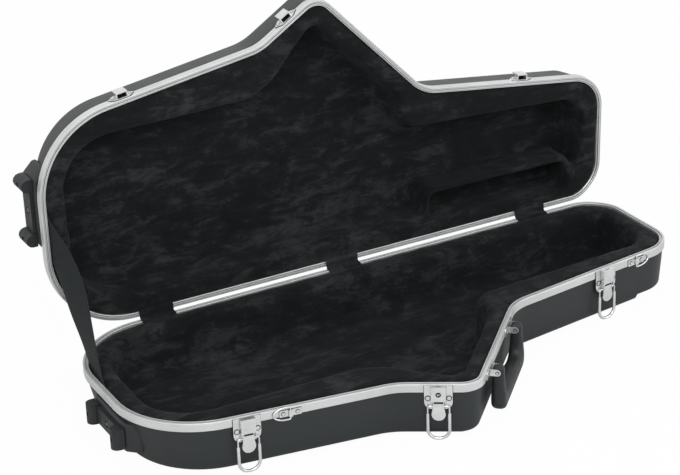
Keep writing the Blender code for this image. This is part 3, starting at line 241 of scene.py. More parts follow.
def finished(obj):
    """The object's mesh with its modifiers applied; the object is removed."""
    graph = bpy.context.evaluated_depsgraph_get()
    mesh = bpy.data.meshes.new_from_object(obj.evaluated_get(graph))
    bpy.data.objects.remove(obj, do_unlink=True)
    return mesh


def modified(obj, kind, **settings):
    """Adds a modifier with its settings."""
    modifier = obj.modifiers.new(kind.lower(), kind)
    for name, value in settings.items():
        setattr(modifier, name, value)


def bevelled(obj, width, segments, angle, **more):
    """Adds a modifier that rounds the object's sharp edges."""
    settings = {"limit_method": "ANGLE", "angle_limit": radians(angle), **more}
    modified(obj, "BEVEL", width=width, segments=segments, **settings)


def voxelled(mesh, size, passes):
    """A mesh rebuilt from voxels of a size and smoothed."""
    work = working(mesh)
    modified(work, "REMESH", mode="VOXEL", voxel_size=size)
    modified(work, "SMOOTH", factor=0.5, iterations=passes)
    return finished(work)


def baked(work, name):
    """A mesh made from a bmesh, which is then freed."""
    mesh = bpy.data.meshes.new(name)
    work.to_mesh(mesh)
    work.free()
    return mesh


def shifted(mesh, *move):
    """The mesh itself, moved."""
    mesh.transform(Matrix.Translation(move))
    return mesh


def quarter_turn(steps):
    """Angles from nothing to a quarter turn."""
    return [pi / 2 * step / steps for step in range(steps + 1)]


def merged(meshes):
    """Several meshes as one."""
    work = bmesh.new()
    for mesh in meshes:
        work.from_mesh(mesh)
    return baked(work, "merged")


def softened(mesh, width, segments):
    """A mesh with its edges rounded."""
    obj = working(mesh)
    bevelled(obj, width, segments, SHARP_EDGE)
    return finished(obj)


def trimmed(mesh, cutters):
    """A mesh with others cut from it."""
    for cutter in cutters:
        body, helper = working(mesh), working(cutter)
        modified(body, "BOOLEAN", operation="DIFFERENCE", solver="EXACT", object=helper)
        mesh = finished(body)
        bpy.data.objects.remove(helper, do_unlink=True)
    return mesh


# What the last strip of a swept section counts for across its UVs
LAST_STRIP = 0.002


def swept(section, name, body, place):
    """A closed section of (outward, height) points carried round the plan as a half's rim."""
    work = bmesh.new()
    layer = work.loops.layers.uv.new("run")
    points = outline()
    lengths = distances(points + points[:1])
    rings = []
    for out, height in section:
        rings.append([work.verts.new(world(p.x, p.y, height)) for p in level_outline(out)])
    across = distances([Vector(point) for point in section])
    across.append(across[-1] + LAST_STRIP)
    for low, ring in enumerate(rings):
        above = rings[(low + 1) % len(rings)]
        for k in range(len(ring)):
            j = (k + 1) % len(ring)
            sides = (lengths[k : k + 2], across[low : low + 2])
            marked_face(work, layer, (ring[k], ring[j]), (above[k], above[j]), *sides)
    bmesh.ops.recalc_face_normals(work, faces=work.faces)
    return piece(name, baked(work, "swept"), ALUMINIUM, body, place, SHARP_RIM_EDGE)


def distances(points):
    """How far along a run of points each of them lies."""
    run = [0.0]
    for first, second in zip(points, points[1:]):
        run.append(run[-1] + (second - first).length)
    return run


def marked_face(work, layer, low, high, run, rise):
    """A face between two pairs of corners, with its UVs in metres."""
    face = work.faces.new((*low, *reversed(high)))
    marks = ((run[0], rise[0]), (run[1], rise[0]), (run[1], rise[1]), (run[0], rise[1]))
    for loop, mark in zip(face.loops, marks):
        loop[layer].uv = mark


def lofted(rings, cap_first=False, cap_last=False):
    """A skin through rings of points, closed at the ends that are capped."""
    work = bmesh.new()
    loops = [[work.verts.new(point) for point in points] for points in rings]
    for low, high in zip(loops, loops[1:]):
        for k in range(len(low)):
            j = (k + 1) % len(low)
            work.faces.new((low[k], low[j], high[j], high[k]))
    if cap_first:
        work.faces.new(list(reversed(loops[0])))
    if cap_last:
        work.faces.new(loops[-1])
    bmesh.ops.recalc_face_normals(work, faces=work.faces)
    return baked(work, "loft")


def slab(points, low, high):
    """An outline in plan, given thickness from a low to a high level."""
    rings = [[Vector((*point, level)) for point in points] for level in (low, high)]
    return lofted(rings, True, True)


def block(low, high):
    """A box between two corners."""
    (left, front, bottom), (right, back, top) = low, high
    return slab([(left, front), (right, front), (right, back), (left, back)], bottom, top)


def turned(profile, capped=True):
    """A profile of (radius, level) points turned about Y."""
    rings = []
    for radius, level in profile:
        ring = []
        for k in range(TURNED_SIDES):
            angle = 2 * pi * k / TURNED_SIDES
            ring.append(Vector((radius * cos(angle), level, radius * sin(angle))))
        rings.append(ring)
    return lofted(rings, capped, capped)


def node_mesh(name):
    """A copy of a frame node's mesh, in the shared frame."""
    source = frame["nodes"][name]
    mesh = source.data.copy()
    mesh.transform(source.matrix_world)
    return mesh


def wired(tree, kind, output, *ordered, **named):
    """A new node's output; its sockets are linked or typed in, in their order or by name."""
    node = tree.nodes.new(f"ShaderNode{kind}")
    given = [*zip(node.inputs, ordered), *((node.inputs[name], named[name]) for name in named)]
    for socket, value in given:
        if isinstance(value, bpy.types.NodeSocket):
            tree.links.new(value, socket)
        else:
            socket.default_value = value
    return node.outputs[output]


def computed(tree, operation, a, b):
    """The result of a Math node on two values or sockets."""
    result = wired(tree, "Math", "Value", a, b)
    result.node.operation = operation
    return result


class Finish:
    """A Principled material with short ways to add noise, colour and bump."""

    def __init__(self, name, colour, roughness, metallic=0.0, specular=0.5):
        self.material = bpy.data.materials.new(name)
        self.material.use_nodes = True
        self.tree = self.material.node_tree
        self.shader = self.tree.nodes["Principled BSDF"]
        self.set("Base Color", (*colour, 1.0))
        self.set("Roughness", roughness)
        self.set("Metallic", metallic)
        self.set("Specular IOR Level", specular)
        self.where = self.node("TexCoord", "Object")
        self.normal = None

    def set(self, socket, value):
        self.shader.inputs[socket].default_value = value

    def drive(self, socket, value):
        self.tree.links.new(value, self.shader.inputs[socket])

    def node(self, kind, output, **settings):
        return wired(self.tree, kind, output, **settings)

    def stretched(self, scale, source=None):
        return self.node("Mapping", "Vector", Scale=scale, Vector=source or self.where)

    def noise(self, scale, detail=3.0, rough=0.55, where=None, distortion=0.0):
        place = where or self.where
        shape = {"Scale": scale, "Detail": detail, "Roughness": rough, "Distortion": distortion}
        return self.node("TexNoise", "Fac", Vector=place, **shape)

    def ramp(self, value, stops):
        colour = self.node("ValToRGB", "Color", Fac=value)
        elements = colour.node.color_ramp.elements
        while len(elements) < len(stops):
            elements.new(0.5)
        for element, (place, shade) in zip(elements, stops):
            element.position = place
            element.color = (*shade, 1.0)
        return colour

    def toned(self, value, low, dark, high, pale):
        """A colour that runs from dark to pale as a value goes from low to high."""
        return self.ramp(value, ((low, dark), (high, pale)))

    def level(self, value, low, high, start, end):
        """A value's run from start to end, turned into one from low to high."""
        span = {"From Min": start, "From Max": end, "To Min": low, "To Max": high}
        return self.node("MapRange", "Result", Value=value, **span)

    def rough(self, value, low, high, start=0.3, end=0.7):
        """Drives the roughness by a value."""
        self.drive("Roughness", self.level(value, low, high, start, end))

    def summed(self, *parts):
        """The sum of values, each times its weight."""
        total = 0.0
        for value, weight in parts:
            part = computed(self.tree, "MULTIPLY", value, weight)
            total = computed(self.tree, "ADD", total, part)
        return total

    def wave(self, where, stretch, bands, scale, distortion):
        place = self.stretched(stretch, where)
        ridges = self.node("TexWave", "Fac", Scale=scale, Distortion=distortion, Vector=place)
        ridges.node.bands_direction = bands
        return ridges

    def crevice_shaded(self, colour, reach, darkest):
        """A colour with painted shade, darkened in crevices narrower than a reach."""
        crevice = self.node("AmbientOcclusion", "AO", Distance=reach)
        crevice.node.samples = 8
        share = self.level(crevice, darkest, 1.0, 0.25, 0.85)
        mix = self.tree.nodes.new("ShaderNodeMix")
        mix.data_type = "RGBA"
        mix.blend_type = "MULTIPLY"
        sockets = {socket.name: socket for socket in mix.inputs if socket.enabled}
        sockets["Factor"].default_value = 1.0
        self.tree.links.new(colour, sockets["A"])
        self.tree.links.new(share, sockets["B"])
        return [socket for socket in mix.outputs if socket.enabled][0]

    def bump(self, height, strength, distance):
        """Adds relief over what there is already."""
        shape = {"Strength": strength, "Distance": distance, "Height": height}
        if self.normal is not None:
            shape["Normal"] = self.normal
        self.normal = self.node("Bump", "Normal", **shape)
        self.drive("Normal", self.normal)


def abs_finish():
    """Charcoal moulded plastic: a fine grain, a little cloudiness and faint handling marks."""
    finish = Finish("case_moulded_abs", (0.020, 0.024, 0.025), 0.50, specular=0.40)
    tone = finish.toned(finish.noise(9.0), 0.3, (0.019, 0.023, 0.024), 0.7, (0.022, 0.026, 0.027))
    finish.drive("Base Color", tone)
    finish.rough(finish.noise(38.0, 5.0), 0.45, 0.52)
    finish.bump(finish.noise(620.0, 3.0, 0.65), 0.35, 0.0004)
    scuffs = finish.noise(7.0, 6.0, 0.8, finish.stretched((6.0, 6.0, 60.0)))
    finish.bump(scuffs, 0.05, 0.0002)
    return finish.material


def aluminium_finish():
    """Satin extrusion: fine draw lines along its run, soft dull patches, and painted shade that
    darkens its grooves.
    """
    finish = Finish("valance_aluminium", (0.66, 0.67, 0.67), 0.40, 0.62)
    run = finish.node("UVMap", "UV")
    lines = finish.noise(1.0, 3.0, 0.6, finish.stretched((14.0, 9000.0, 1.0), run))
    finish.rough(lines, 0.34, 0.50)
    dull = finish.toned(finish.noise(16.0), 0.3, (0.62, 0.63, 0.63), 0.7, (0.73, 0.74, 0.74))
    # Painted shade: the colour darkens in the grooves and crevices.
    finish.drive("Base Color", finish.crevice_shaded(dull, 0.0017, 0.34))
    finish.bump(lines, 0.12, 0.00006)
    return finish.material


def nickel_finish():
    """Satin plate on pressed steel: slightly wavy, worn in patches, with painted shade where parts
    meet.
    """
    finish = Finish("bright_nickel", (0.76, 0.77, 0.77), 0.28, 0.80)
    worn = finish.noise(160.0, 5.0, 0.7)
    finish.rough(worn, 0.20, 0.40, 0.35, 0.75)
    tone = finish.toned(finish.noise(60.0), 0.3, (0.66, 0.67, 0.67), 0.7, (0.79, 0.80, 0.80))
    # Painted shade: the colour darkens in crevices and where parts meet.
    finish.drive("Base Color", finish.crevice_shaded(tone, 0.0018, 0.12))
    finish.bump(finish.noise(220.0, 2.0), 0.14, 0.0002)
    return finish.material


def moulding_finish():
    """Matt black rubber of the handle and feet, paler where hands have polished it."""
    finish = Finish("black_moulding", (0.018, 0.021, 0.022), 0.50, specular=0.36)
    finish.rough(finish.noise(60.0, 4.0), 0.40, 0.60)
    patches = finish.noise(38.0, 4.0)
    tone = finish.toned(patches, 0.35, (0.013, 0.016, 0.017), 0.7, (0.024, 0.028, 0.029))
    finish.drive("Base Color", tone)
    finish.bump(finish.noise(900.0), 0.30, 0.0003)
    return finish.material


def plush_finish():
    """Black crushed plush: streaky patches of paler pile, partly its own tone and partly painted
    sheen of the crushed pile, over a fine fuzz.
    """
    finish = Finish("crushed_plush", (0.008, 0.009, 0.010), 0.95, specular=0.06)
    finish.set("Sheen Weight", 0.05)
    finish.set("Sheen Tint", (0.80, 0.88, 0.90, 1.0))
    broad = finish.noise(5.0, 2.0, 0.5)
    crush = finish.noise(21.0, 7.0, 0.72, distortion=0.8)
    streak = finish.noise(20.0, 7.0, 0.74, finish.stretched((1.0, 3.0, 3.0)), distortion=0.6)
    pile = finish.noise(520.0, 3.0, 0.7)
    nap_and_sheen = finish.summed((crush, 0.32), (streak, 0.42), (broad, 0.20), (pile, 0.06))
    # Paler pile in streaky patches: partly the plush's own tone, partly painted sheen of the crushed
    # pile
    colours = (
        (0.45, (0.0100, 0.0106, 0.0114)),
        (0.51, (0.0138, 0.0147, 0.0156)),
        (0.54, (0.0225, 0.0248, 0.0257)),
        (0.60, (0.0360, 0.0398, 0.0408)),
    )
    finish.drive("Base Color", finish.ramp(nap_and_sheen, colours))
    finish.bump(nap_and_sheen, 0.50, 0.006)
    finish.bump(finish.noise(120.0, 3.0, 0.6), 0.20, 0.0010)
    finish.bump(pile, 0.45, 0.0006)
    return finish.material


def web_finish():
    """Woven black web: fine ribs across its run with a diagonal twill."""
    finish = Finish("woven_web", (0.008, 0.010, 0.011), 0.85, specular=0.20)
    finish.set("Sheen Weight", 0.03)
    run = finish.node("UVMap", "UV")
    rib = finish.wave(run, (1.0, 1.0, 1.0), "X", 190.0, 0.2)
    twill = finish.wave(run, (1.0, 0.8, 1.0), "DIAGONAL", 190.0, 0.3)
    weave = finish.summed((rib, 0.4), (twill, 0.6))
    tone = finish.toned(weave, 0.28, (0.005, 0.007, 0.008), 0.72, (0.031, 0.036, 0.037))
    finish.drive("Base Color", tone)
    finish.bump(weave, 0.70, 0.0005)
    finish.bump(finish.noise(700.0, 2.0), 0.3, 0.0003)
    return finish.material


def painted_shade_finish():
    """Painted shade: a dark finish for shadowed recesses and gaps, such as a keyway or a screw's
    cross.
    """
    finish = Finish("recess_shade_paint", (0.008, 0.008, 0.009), 0.7, specular=0.15)
    finish.rough(finish.noise(300.0, 2.0), 0.6, 0.8)
    finish.bump(finish.noise(800.0, 2.0), 0.2, 0.0002)
    return finish.material


ABS = abs_finish()
ALUMINIUM = aluminium_finish()
NICKEL = nickel_finish()
MOULDING = moulding_finish()
PLUSH = plush_finish()
WEB = web_finish()
# Painted shade for the dark pieces put in recesses, gaps and under parts
PAINTED_SHADE = painted_shade_finish()


def soften_node(name, width=0.0002, segments=2, material=NICKEL):
    """Keeps a frame node's shape, rounds its edges and gives it a finish."""
    obj = frame["nodes"][name]
    modified(obj, "DECIMATE", decimate_type="DISSOLVE", angle_limit=radians(1.0))
    bevelled(obj, width, segments, SHARP_NODE_EDGE, use_clamp_overlap=True, harden_normals=True)
    paint_node(name, material)


def paint_node(name, material=NICKEL):
    """Gives a frame node a finish."""
    obj = frame["nodes"][name]
    for slot in obj.material_slots:
        slot.material = material


# Depth of an extra ring half way down the walls, and the softness of the platform's step
WALL_MIDDLE = 0.034
STEP_SOFT = 0.0009


def shell_rings(half):
    """Rings of a half's skin from its rim down the walls, round the edge and over the platform."""
    sign, deep, drafts = half
    start = deep - BOTTOM_ROUND
    levels = [(SHELL_OUT, depth) for depth in (SHELL_EDGE, DRAFT_START, WALL_MIDDLE, start)]
    for angle in quarter_turn(9)[1:]:
        inset = BOTTOM_ROUND * (1 - cos(angle))
        levels.append((SHELL_OUT - inset, start + BOTTOM_ROUND * sin(angle)))
    rings = [(drawn_in(out, depth, drafts), depth) for out, depth in levels]
    edge = drawn_in(SHELL_OUT - BOTTOM_ROUND, deep, drafts, LEDGES)
    steps = (
        (STEP_SOFT, 0.0),
        (-STEP_SOFT * 0.3, STEP_SOFT * 0.5),
        (-STEP_RUN + STEP_SOFT * 0.5, STEP_HEIGHT - STEP_SOFT * 0.8),
        (-STEP_RUN - STEP_SOFT, STEP_HEIGHT),
        (-STEP_RUN - 0.006, STEP_HEIGHT),
    )
    for shift, rise in steps:
        rings.append(([move + shift for move in edge], deep + rise))
    return [[world(p.x, p.y, sign * depth) for p in outline(moves)] for moves, depth in rings]


# The base's floor is shallower near the neck's end: where the step stands, its run and its rise,
# and the depth from which the walls are drawn up with it
END_STEP = 0.795
END_STEP_RUN = 0.003
END_RISE = 0.0055
END_RISE_START = 0.058


def end_rise(spot):
    """How far a point of the base is lifted near the neck's end."""
    past = (spot.x + ORIGIN_ALONG - END_STEP) / END_STEP_RUN
    below = (RIM_HEIGHT - spot.z - END_RISE_START) / (BASE_HALF[1] - END_RISE_START)
    return END_RISE * clamped(past) * clamped(below)


def stepped(mesh):
    """The base's skin with the step of its floor near the neck's end."""
    work = bmesh.new()
    work.from_mesh(mesh)
    for along in (END_STEP, END_STEP + END_STEP_RUN):
        parts = [*work.verts, *work.edges, *work.faces]
        plane = {"plane_co": world(along, 0, 0), "plane_no": (1, 0, 0)}
        bmesh.ops.bisect_plane(work, geom=parts, dist=0.00001, **plane)
    for vertex in work.verts:
        vertex.co.z += end_rise(vertex.co)
    return baked(work, "stepped")


def shell_skin(half):
    """A half's outer skin, open at its rim."""
    rings = shell_rings(half)
    if half[0] < 0:
        rings.reverse()
        return stepped(lofted(rings, cap_first=True))
    return lofted(rings, cap_last=True)


# How far a seat's back lies in the wall, and the softness of its edges
PAD_BACK = 0.0005
PAD_SOFT = 0.0012
TAPERED_PAD_SOFT = 0.0045
PAD_SEGMENTS = 5


def pad(spot, sign, width, low, high, out, taper=0.0):
    """A raised seat for hardware with soft edges, its back inside the wall."""
    half = width / 2
    points = [(half - taper, -out), (half, -out + taper), (half, PAD_BACK + taper)]
    points += [(-a, b) for a, b in reversed(points)]
    if taper == 0.0:
        points = [(half, -out), (half, PAD_BACK), (-half, PAD_BACK), (-half, -out)]
    mesh = slab(points, *sorted((sign * low, sign * high)))
    mesh = softened(mesh, TAPERED_PAD_SOFT if taper else PAD_SOFT, PAD_SEGMENTS)
    mesh.transform(spot)
    return mesh


def make_shells():
    """Both moulded halves with their seats."""
    for name, half, frame_of_half in (("base", BASE_HALF, None), ("lid", LID_HALF, LID_FRAME)):
        skin = working(shell_skin(half))
        modified(skin, "SOLIDIFY", thickness=SHELL_WALL, offset=-1.0, use_even_offset=True)
        meshes = [finished(skin), pad(wall_spot(BELL_WALL, out=FOOT_OUT), half[0], *FOOT_PAD)]
        if name == "base":
            meshes += [pad(wall_spot(*place), -1, *LATCH_PAD) for place in LATCH_SPOTS.values()]
        shell = piece(f"{name}_shell_skin", merged(meshes), ABS, name, frame_of_half, 50)
        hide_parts(f"{name}_shell")


# The rim's section: the fine lines cut in its face, its inner leg and the slot for the shell's edge
FINE_LINE = 0.00022
HIGH_LINE = 0.0017
LOW_LINE = VALANCE_DROP - 0.0021
LEG_DROP = 0.0085
LEG_WIDTH = 0.0019
SLOT_TOP = 0.0040
SLOT_OUT = VALANCE_WIDTH - 0.0017
ROLLED = 0.0005
INNER_CORNER = 0.0006


def valance_section(sign, top):
    """The rim's section with rolled corners, fine lines near its edges and its groove or tongue."""
    width, drop = VALANCE_WIDTH, VALANCE_DROP
    outer = [(width - 0.0008, 0.0), (width - 0.0003, 0.00015), (width, 0.0007)]
    for line in (HIGH_LINE, LOW_LINE):
        middle = line + FINE_LINE
        outer += [(width, line), (width - FINE_LINE, middle), (width, middle + FINE_LINE)]
    outer += [(width, drop - ROLLED), (width - ROLLED, drop), (SLOT_OUT, drop)]
    outer += [(SLOT_OUT, SLOT_TOP), (LEG_WIDTH, SLOT_TOP), (LEG_WIDTH, LEG_DROP)]
    outer += [(0.0, LEG_DROP), (0.0, INNER_CORNER), (INNER_CORNER, 0.0)]
    return [(out, sign * depth) for out, depth in outer] + top


# The base's groove, and the lid's tongue between two sunk lines with a finer line outside them
CHANNEL_LIP = 0.0002
GROOVE_HALF = 0.0013
GROOVE_DEEP = 0.0022
TONGUE_HALF = 0.0007
TONGUE_TALL = 0.0016
SUNK_LINE = 0.0006
SUNK_WIDTH = 0.0007
SUNK_LIP = 0.0001
OUTER_LINE = GROOVE_OUT + 0.0024
OUTER_LINE_WIDTH = 0.0006
OUTER_LINE_SUNK = 0.0004


def channel(*half):
    """Half of a groove's or tongue's section and its mirror, about the groove's middle."""
    mirrored = [(-out, height) for out, height in reversed(half)]
    return [(GROOVE_OUT + out, height) for out, height in (*half, *mirrored)]


def make_valances():
    """The aluminium rims of both halves."""
    lip = CHANNEL_LIP
    groove = channel((-GROOVE_HALF - lip, 0.0), (-GROOVE_HALF, -lip), (-GROOVE_HALF, -GROOVE_DEEP))
    base = swept(valance_section(-1, groove), "base_rim", "base", None)
    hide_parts("base_valance")
    side = -TONGUE_HALF - SUNK_WIDTH
    tongue = channel(
        (side - SUNK_LIP, 0.0),
        (side, SUNK_LINE),
        (-TONGUE_HALF, SUNK_LINE),
        (-TONGUE_HALF, lip - TONGUE_TALL),
        (lip - TONGUE_HALF, -TONGUE_TALL),
    )
    end = OUTER_LINE + OUTER_LINE_WIDTH
    tongue += [(OUTER_LINE, 0.0), (OUTER_LINE + SUNK_LIP, OUTER_LINE_SUNK)]
    tongue += [(end - SUNK_LIP, OUTER_LINE_SUNK), (end, 0.0)]
    lid = swept(valance_section(1, tongue), "lid_rim", "lid", LID_FRAME)
    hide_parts("lid_valance")


# The foam's top lies below the rim; its pile is drawn up from a depth to just under the rim's plane
LINING_DROP = 0.0026
PILE_DEPTH = 0.0085
PILE_GAP = 0.0004
LINING_VOXEL = 0.0045

# Dents, folds and crinkles of the pile: how many to a metre, and how deep
DENTS = (16.0, 0.0022)
FOLDS = (42.0, 0.0012)
CRINKLES = (95.0, 0.0005)


def plush_block(name, place, seed):
    """The lining as stuffed plush: the foam's form with soft edges, dents and short folds."""
    voxel = LINING_VOXEL
    mesh = voxelled(node_mesh(f"{name}_lining"), voxel, 3)
    back = place.inverted()
    upward = place.col[2].to_3d()
    mesh.update()
    for vertex, normal in with_normals(mesh):
        spot = back @ vertex.co
        depth = abs(spot.z - RIM_HEIGHT)
        field = Vector((vertex.co.x + seed, vertex.co.y, vertex.co.z))
        dents, folds, crinkle = (noise.noise(field * wave[0]) for wave in (DENTS, FOLDS, CRINKLES))
        inside = clamped((depth - 0.003) / 0.010)
        move = DENTS[1] * dents + FOLDS[1] * folds + CRINKLES[1] * crinkle
        border = 0.0003 + 0.0005 * folds + 0.0002 * crinkle
        vertex.co += normal * (move * inside + border * (1.0 - inside))
        near = clamped((PILE_DEPTH - depth) / (PILE_DEPTH - LINING_DROP))
        lift = (LINING_DROP - PILE_GAP) * near * copysign(1.0, RIM_HEIGHT - spot.z)
        vertex.co += upward * lift
        if name == "base":
            vertex.co.z += end_rise(vertex.co)
    lining = piece(f"{name}_plush", mesh, PLUSH, name, None, 180)
    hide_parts(f"{name}_lining")


def fabric_strip(rows, thickness):
    """A strip through rows of points across it, with rounded sides and UVs in metres."""
    work = bmesh.new()
    layer = work.loops.layers.uv.new("run")
    grid = [[work.verts.new(point) for point in row] for row in rows]
    along = distances([row[len(row) // 2] for row in rows])
    across = distances(rows[0])
    for r, (low, high) in enumerate(zip(grid, grid[1:])):
        for k in range(len(low) - 1):
            sides = (across[k : k + 2], along[r : r + 2])
            marked_face(work, layer, low[k : k + 2], high[k : k + 2], *sides)
    obj = working(baked(work, "strip"))
    modified(obj, "SOLIDIFY", thickness=thickness, offset=0.0)
    bevelled(obj, thickness * 0.3, 2, SHARP_CLOTH_EDGE)
    return finished(obj), (across[-1], along[-1])


def crossing(name, node, rows, thickness, material, start, end):
    """A strip of cloth from the base to the lid, laid along its rows; start and end are not used."""
    mesh, flat = fabric_strip(rows, thickness)
    strip = piece(name, mesh, material, None, None, SHARP_CLOTH_EDGE)
    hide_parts(node)
    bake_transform(strip)


def chord_spot(near, far):
    """A frame on the chord of the bell end's inner edge: X from near to far, Y inward, Z up."""
    points = [point for point in outline() if point.x < 0.2]
    ends = []
    for out in (near, far):
        pairs = zip(points, points[1:])
        first, second = next(pair for pair in pairs if pair[0].y <= out < pair[1].y)
        ends.append(first.lerp(second, (out - first.y) / (second.y - first.y)))
    start, end = ends
    return facing((end - start).normalized(), (start + end) / 2, 0)


# The stay strap: where it starts and ends across the plan on each half, its thickness, how far it
# lies inside the rims and reaches behind them, and the bow of its slack front edge
STRAP_BASE = (0.074, 0.134)
STRAP_LID = (0.100, 0.165)
STRAP_THICK = 0.0015
STRAP_INSET = 0.0020
STRAP_SINK = 0.015
STRAP_BOW = 0.016
STRAP_BOW_SKEW = 1.4
STRAP_TUCK = 0.07
STRAP_RIPPLE = 0.0006
STRAP_ROWS = 44
STRAP_ACROSS = 10


def tucked(run, normal, past):
    """How far the strap goes on behind a rim, in the plane of its wall."""
    return (run - normal * run.dot(normal)).normalized() * STRAP_SINK * (past / STRAP_TUCK)


def make_strap():
    """The woven stay from behind the base's rim to behind the lid's. Its front edge hangs slack."""
    base = chord_spot(*STRAP_BASE)
    lid = LID_FRAME @ chord_spot(*STRAP_LID)
    base_normal = base.col[1].to_3d()
    lid_normal = lid.col[1].to_3d()
    rows = []
    for r in range(STRAP_ROWS + 1):
        stretch = (r / STRAP_ROWS) * (1 + 2 * STRAP_TUCK) - STRAP_TUCK
        row = []
        for k in range(STRAP_ACROSS + 1):
            s = k / STRAP_ACROSS
            foot = base @ Vector(((s - 0.5) * (STRAP_BASE[1] - STRAP_BASE[0]), STRAP_INSET, 0))
            head = lid @ Vector(((s - 0.5) * (STRAP_LID[1] - STRAP_LID[0]), STRAP_INSET, 0))
            run = head - foot
            if stretch < 0:
                point = foot + tucked(run, base_normal, stretch)
            elif stretch > 1:
                point = head + tucked(run, lid_normal, stretch - 1)
            else:
                point = foot.lerp(head, stretch)
                point.x += STRAP_BOW * s**1.3 * sin(pi * stretch**STRAP_BOW_SKEW)
                ripple = sin(pi * stretch) * sin(9 * stretch + 2 * s)
                point.x += STRAP_RIPPLE * ripple
            row.append(point)
        rows.append(row)
    ends = [half @ Vector((0, STRAP_INSET, 0)) for half in (base, lid)]
    crossing("stay_web", "stay_strap", rows, STRAP_THICK, WEB, *ends)


HINGE_PLACES = (0.144, 0.430, 0.743)
COVER_WIDTH = 0.050
COVER_THICK = 0.001
COVER_FOLD = 0.0008
COVER_RECESS = 0.0026
COVER_REACH = 0.012
COVER_ACROSS = 8


def make_covers():
    """The plush flaps that bridge the linings over the hinges, each bent over both rims."""
    half = COVER_THICK / 2
    face = -HINGE_SETBACK + SEAM + COVER_THICK + FIT
    sunk = -COVER_RECESS + FIT + half
    path = [
        (COVER_REACH, sunk),
        (0.0030, sunk),
        (-SEAM - 0.0004, FIT + half),
        (-VALANCE_WIDTH + COVER_FOLD + 0.0002, FIT + half),
        (face + half, HINGE_SETBACK - VALANCE_WIDTH + COVER_FOLD - 0.0002),
        (face + COVER_FOLD / 4 + half, HINGE_SETBACK),
        (face - COVER_RECESS + half, HINGE_SETBACK + 2 * COVER_FOLD + 0.0010),
        (face - COVER_RECESS + half, HINGE_SETBACK + COVER_REACH),
    ]
    smooth = smooth_path([Vector((out, height, 0.0)) for out, height in path], 5)
    for number, along in enumerate(HINGE_PLACES, 1):
        places = [along + (k / COVER_ACROSS - 0.5) * COVER_WIDTH for k in range(COVER_ACROSS + 1)]
        rows = [[world(place, point.x, point.y) for place in places] for point in smooth]
        ends = (
            world(along, -VALANCE_WIDTH + COVER_FOLD, FIT),
            world(along, face + half, HINGE_SETBACK - VALANCE_WIDTH + COVER_FOLD),
        )
        name = f"hinge_{number}"
        crossing(f"{name}_flap", f"{name}_cover", rows, COVER_THICK, PLUSH, *ends)


def smooth_path(points, steps):
    """A smooth run through points, bent only near each of them."""
    run = [points[0]]
    for before, here, after in zip(points, points[1:], points[2:]):
        start = here.lerp(before, 0.35)
        end = here.lerp(after, 0.35)
        for step in range(steps + 1):
            t = step / steps
            run.append(start.lerp(here, t).lerp(here.lerp(end, t), t))
    run.append(points[-1])
    return run


def wire(name, points, body, closed=False):
    """A round nickel wire along (place, radius) points."""
    curve = bpy.data.curves.new(name, "CURVE")
    curve.dimensions = "3D"
    curve.bevel_depth = 1.0
    curve.bevel_resolution = 5
    curve.use_fill_caps = not closed
    spline = curve.splines.new("POLY")
    spline.points.add(len(points) - 1)
    for spot, (place, size) in zip(spline.points, points):
        spot.co = (*place, 1.0)
        spot.radius = size
    spline.use_cyclic_u = closed
    return piece(name, finished(working(curve)), NICKEL, body, None, 40)


# A bail: half its width, its eye in the lever, the radii of its wire and its sleeve, its bends, its
# length, how much thinner the sleeve is at the loop's end, and where the sleeve starts
BAIL_HALF = 0.01375
BAIL_EYE = 0.0062
BAIL_THIN = 0.0011
BAIL_THICK = 0.0021
BAIL_CORNER = 0.003
BAIL_BEND = 0.0125
BAIL_LENGTH = 0.048
BAIL_THINNING = 0.07
SLEEVE_START = 0.0100


def make_bails():
    """Latch bails: thin wire ends from the lever, a thick sleeve round the loop."""
    half, corner, bend, thick = BAIL_HALF, BAIL_CORNER, BAIL_BEND, BAIL_THICK
    turn = bend - BAIL_LENGTH + thick
    side = [(BAIL_EYE, 0.0, BAIL_THIN)]
    for angle in quarter_turn(6):
        place = (half - corner + corner * sin(angle), corner * cos(angle) - corner)
        side.append((*place, BAIL_THIN))
    side += [
        (half, -SLEEVE_START, BAIL_THIN),
        (half, -SLEEVE_START - 0.0002, thick * 0.93),
        (half, -SLEEVE_START - 0.0006, thick),
        (half, turn, thick),
    ]
    for angle in quarter_turn(12)[1:]:
        size = thick * (1 - BAIL_THINNING * angle / (pi / 2))
        side.append((half - bend + bend * cos(angle), turn - bend * sin(angle), size))
    for name, place in LATCH_SPOTS.items():
        spot = wall_spot(*place) @ Matrix.Translation((0, -LEVER_OUT, -BAIL_DROP))
        points = [(spot @ Vector((a, 0, c)), size) for a, c, size in side]
        points += [(spot @ Vector((-a, 0, c)), size) for a, c, size in reversed(side)]
        bail = wire(f"{name}_bail_wire", points, f"bail_{name}")
        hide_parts(f"latch_{name}_bail")


SCREW_RADIUS = 0.0029
SCREW_HEIGHT = 0.00055
SCREW_DROP = 0.0185
SCREW_SIDE = 0.0135


def cross(reach, half, front, back):
    """Two bars crossed at right angles, facing -Y."""
    return [
        block((-reach, -front, -half), (reach, -back, half)),
        block((-half, -front, -reach), (half, -back, reach)),
    ]


def screw_head():
    """A low domed screw head with a cross recess, facing -Y."""
    radius, height = SCREW_RADIUS, SCREW_HEIGHT
    profile = [(radius, 0.0004)]
    for angle in quarter_turn(6):
        profile.append((max(radius * cos(angle), radius * 0.08), -height * sin(angle)))
    cutters = cross(radius * 0.66, radius * 0.17, height + 0.001, height * 0.2)
    return trimmed(turned(profile), cutters)


def screw_cross_shade():
    """Painted shade: a dark floor in a screw head's cross."""
    radius, height = SCREW_RADIUS, SCREW_HEIGHT
    return merged(cross(radius * 0.64, radius * 0.16, height * 0.45, height * 0.15))


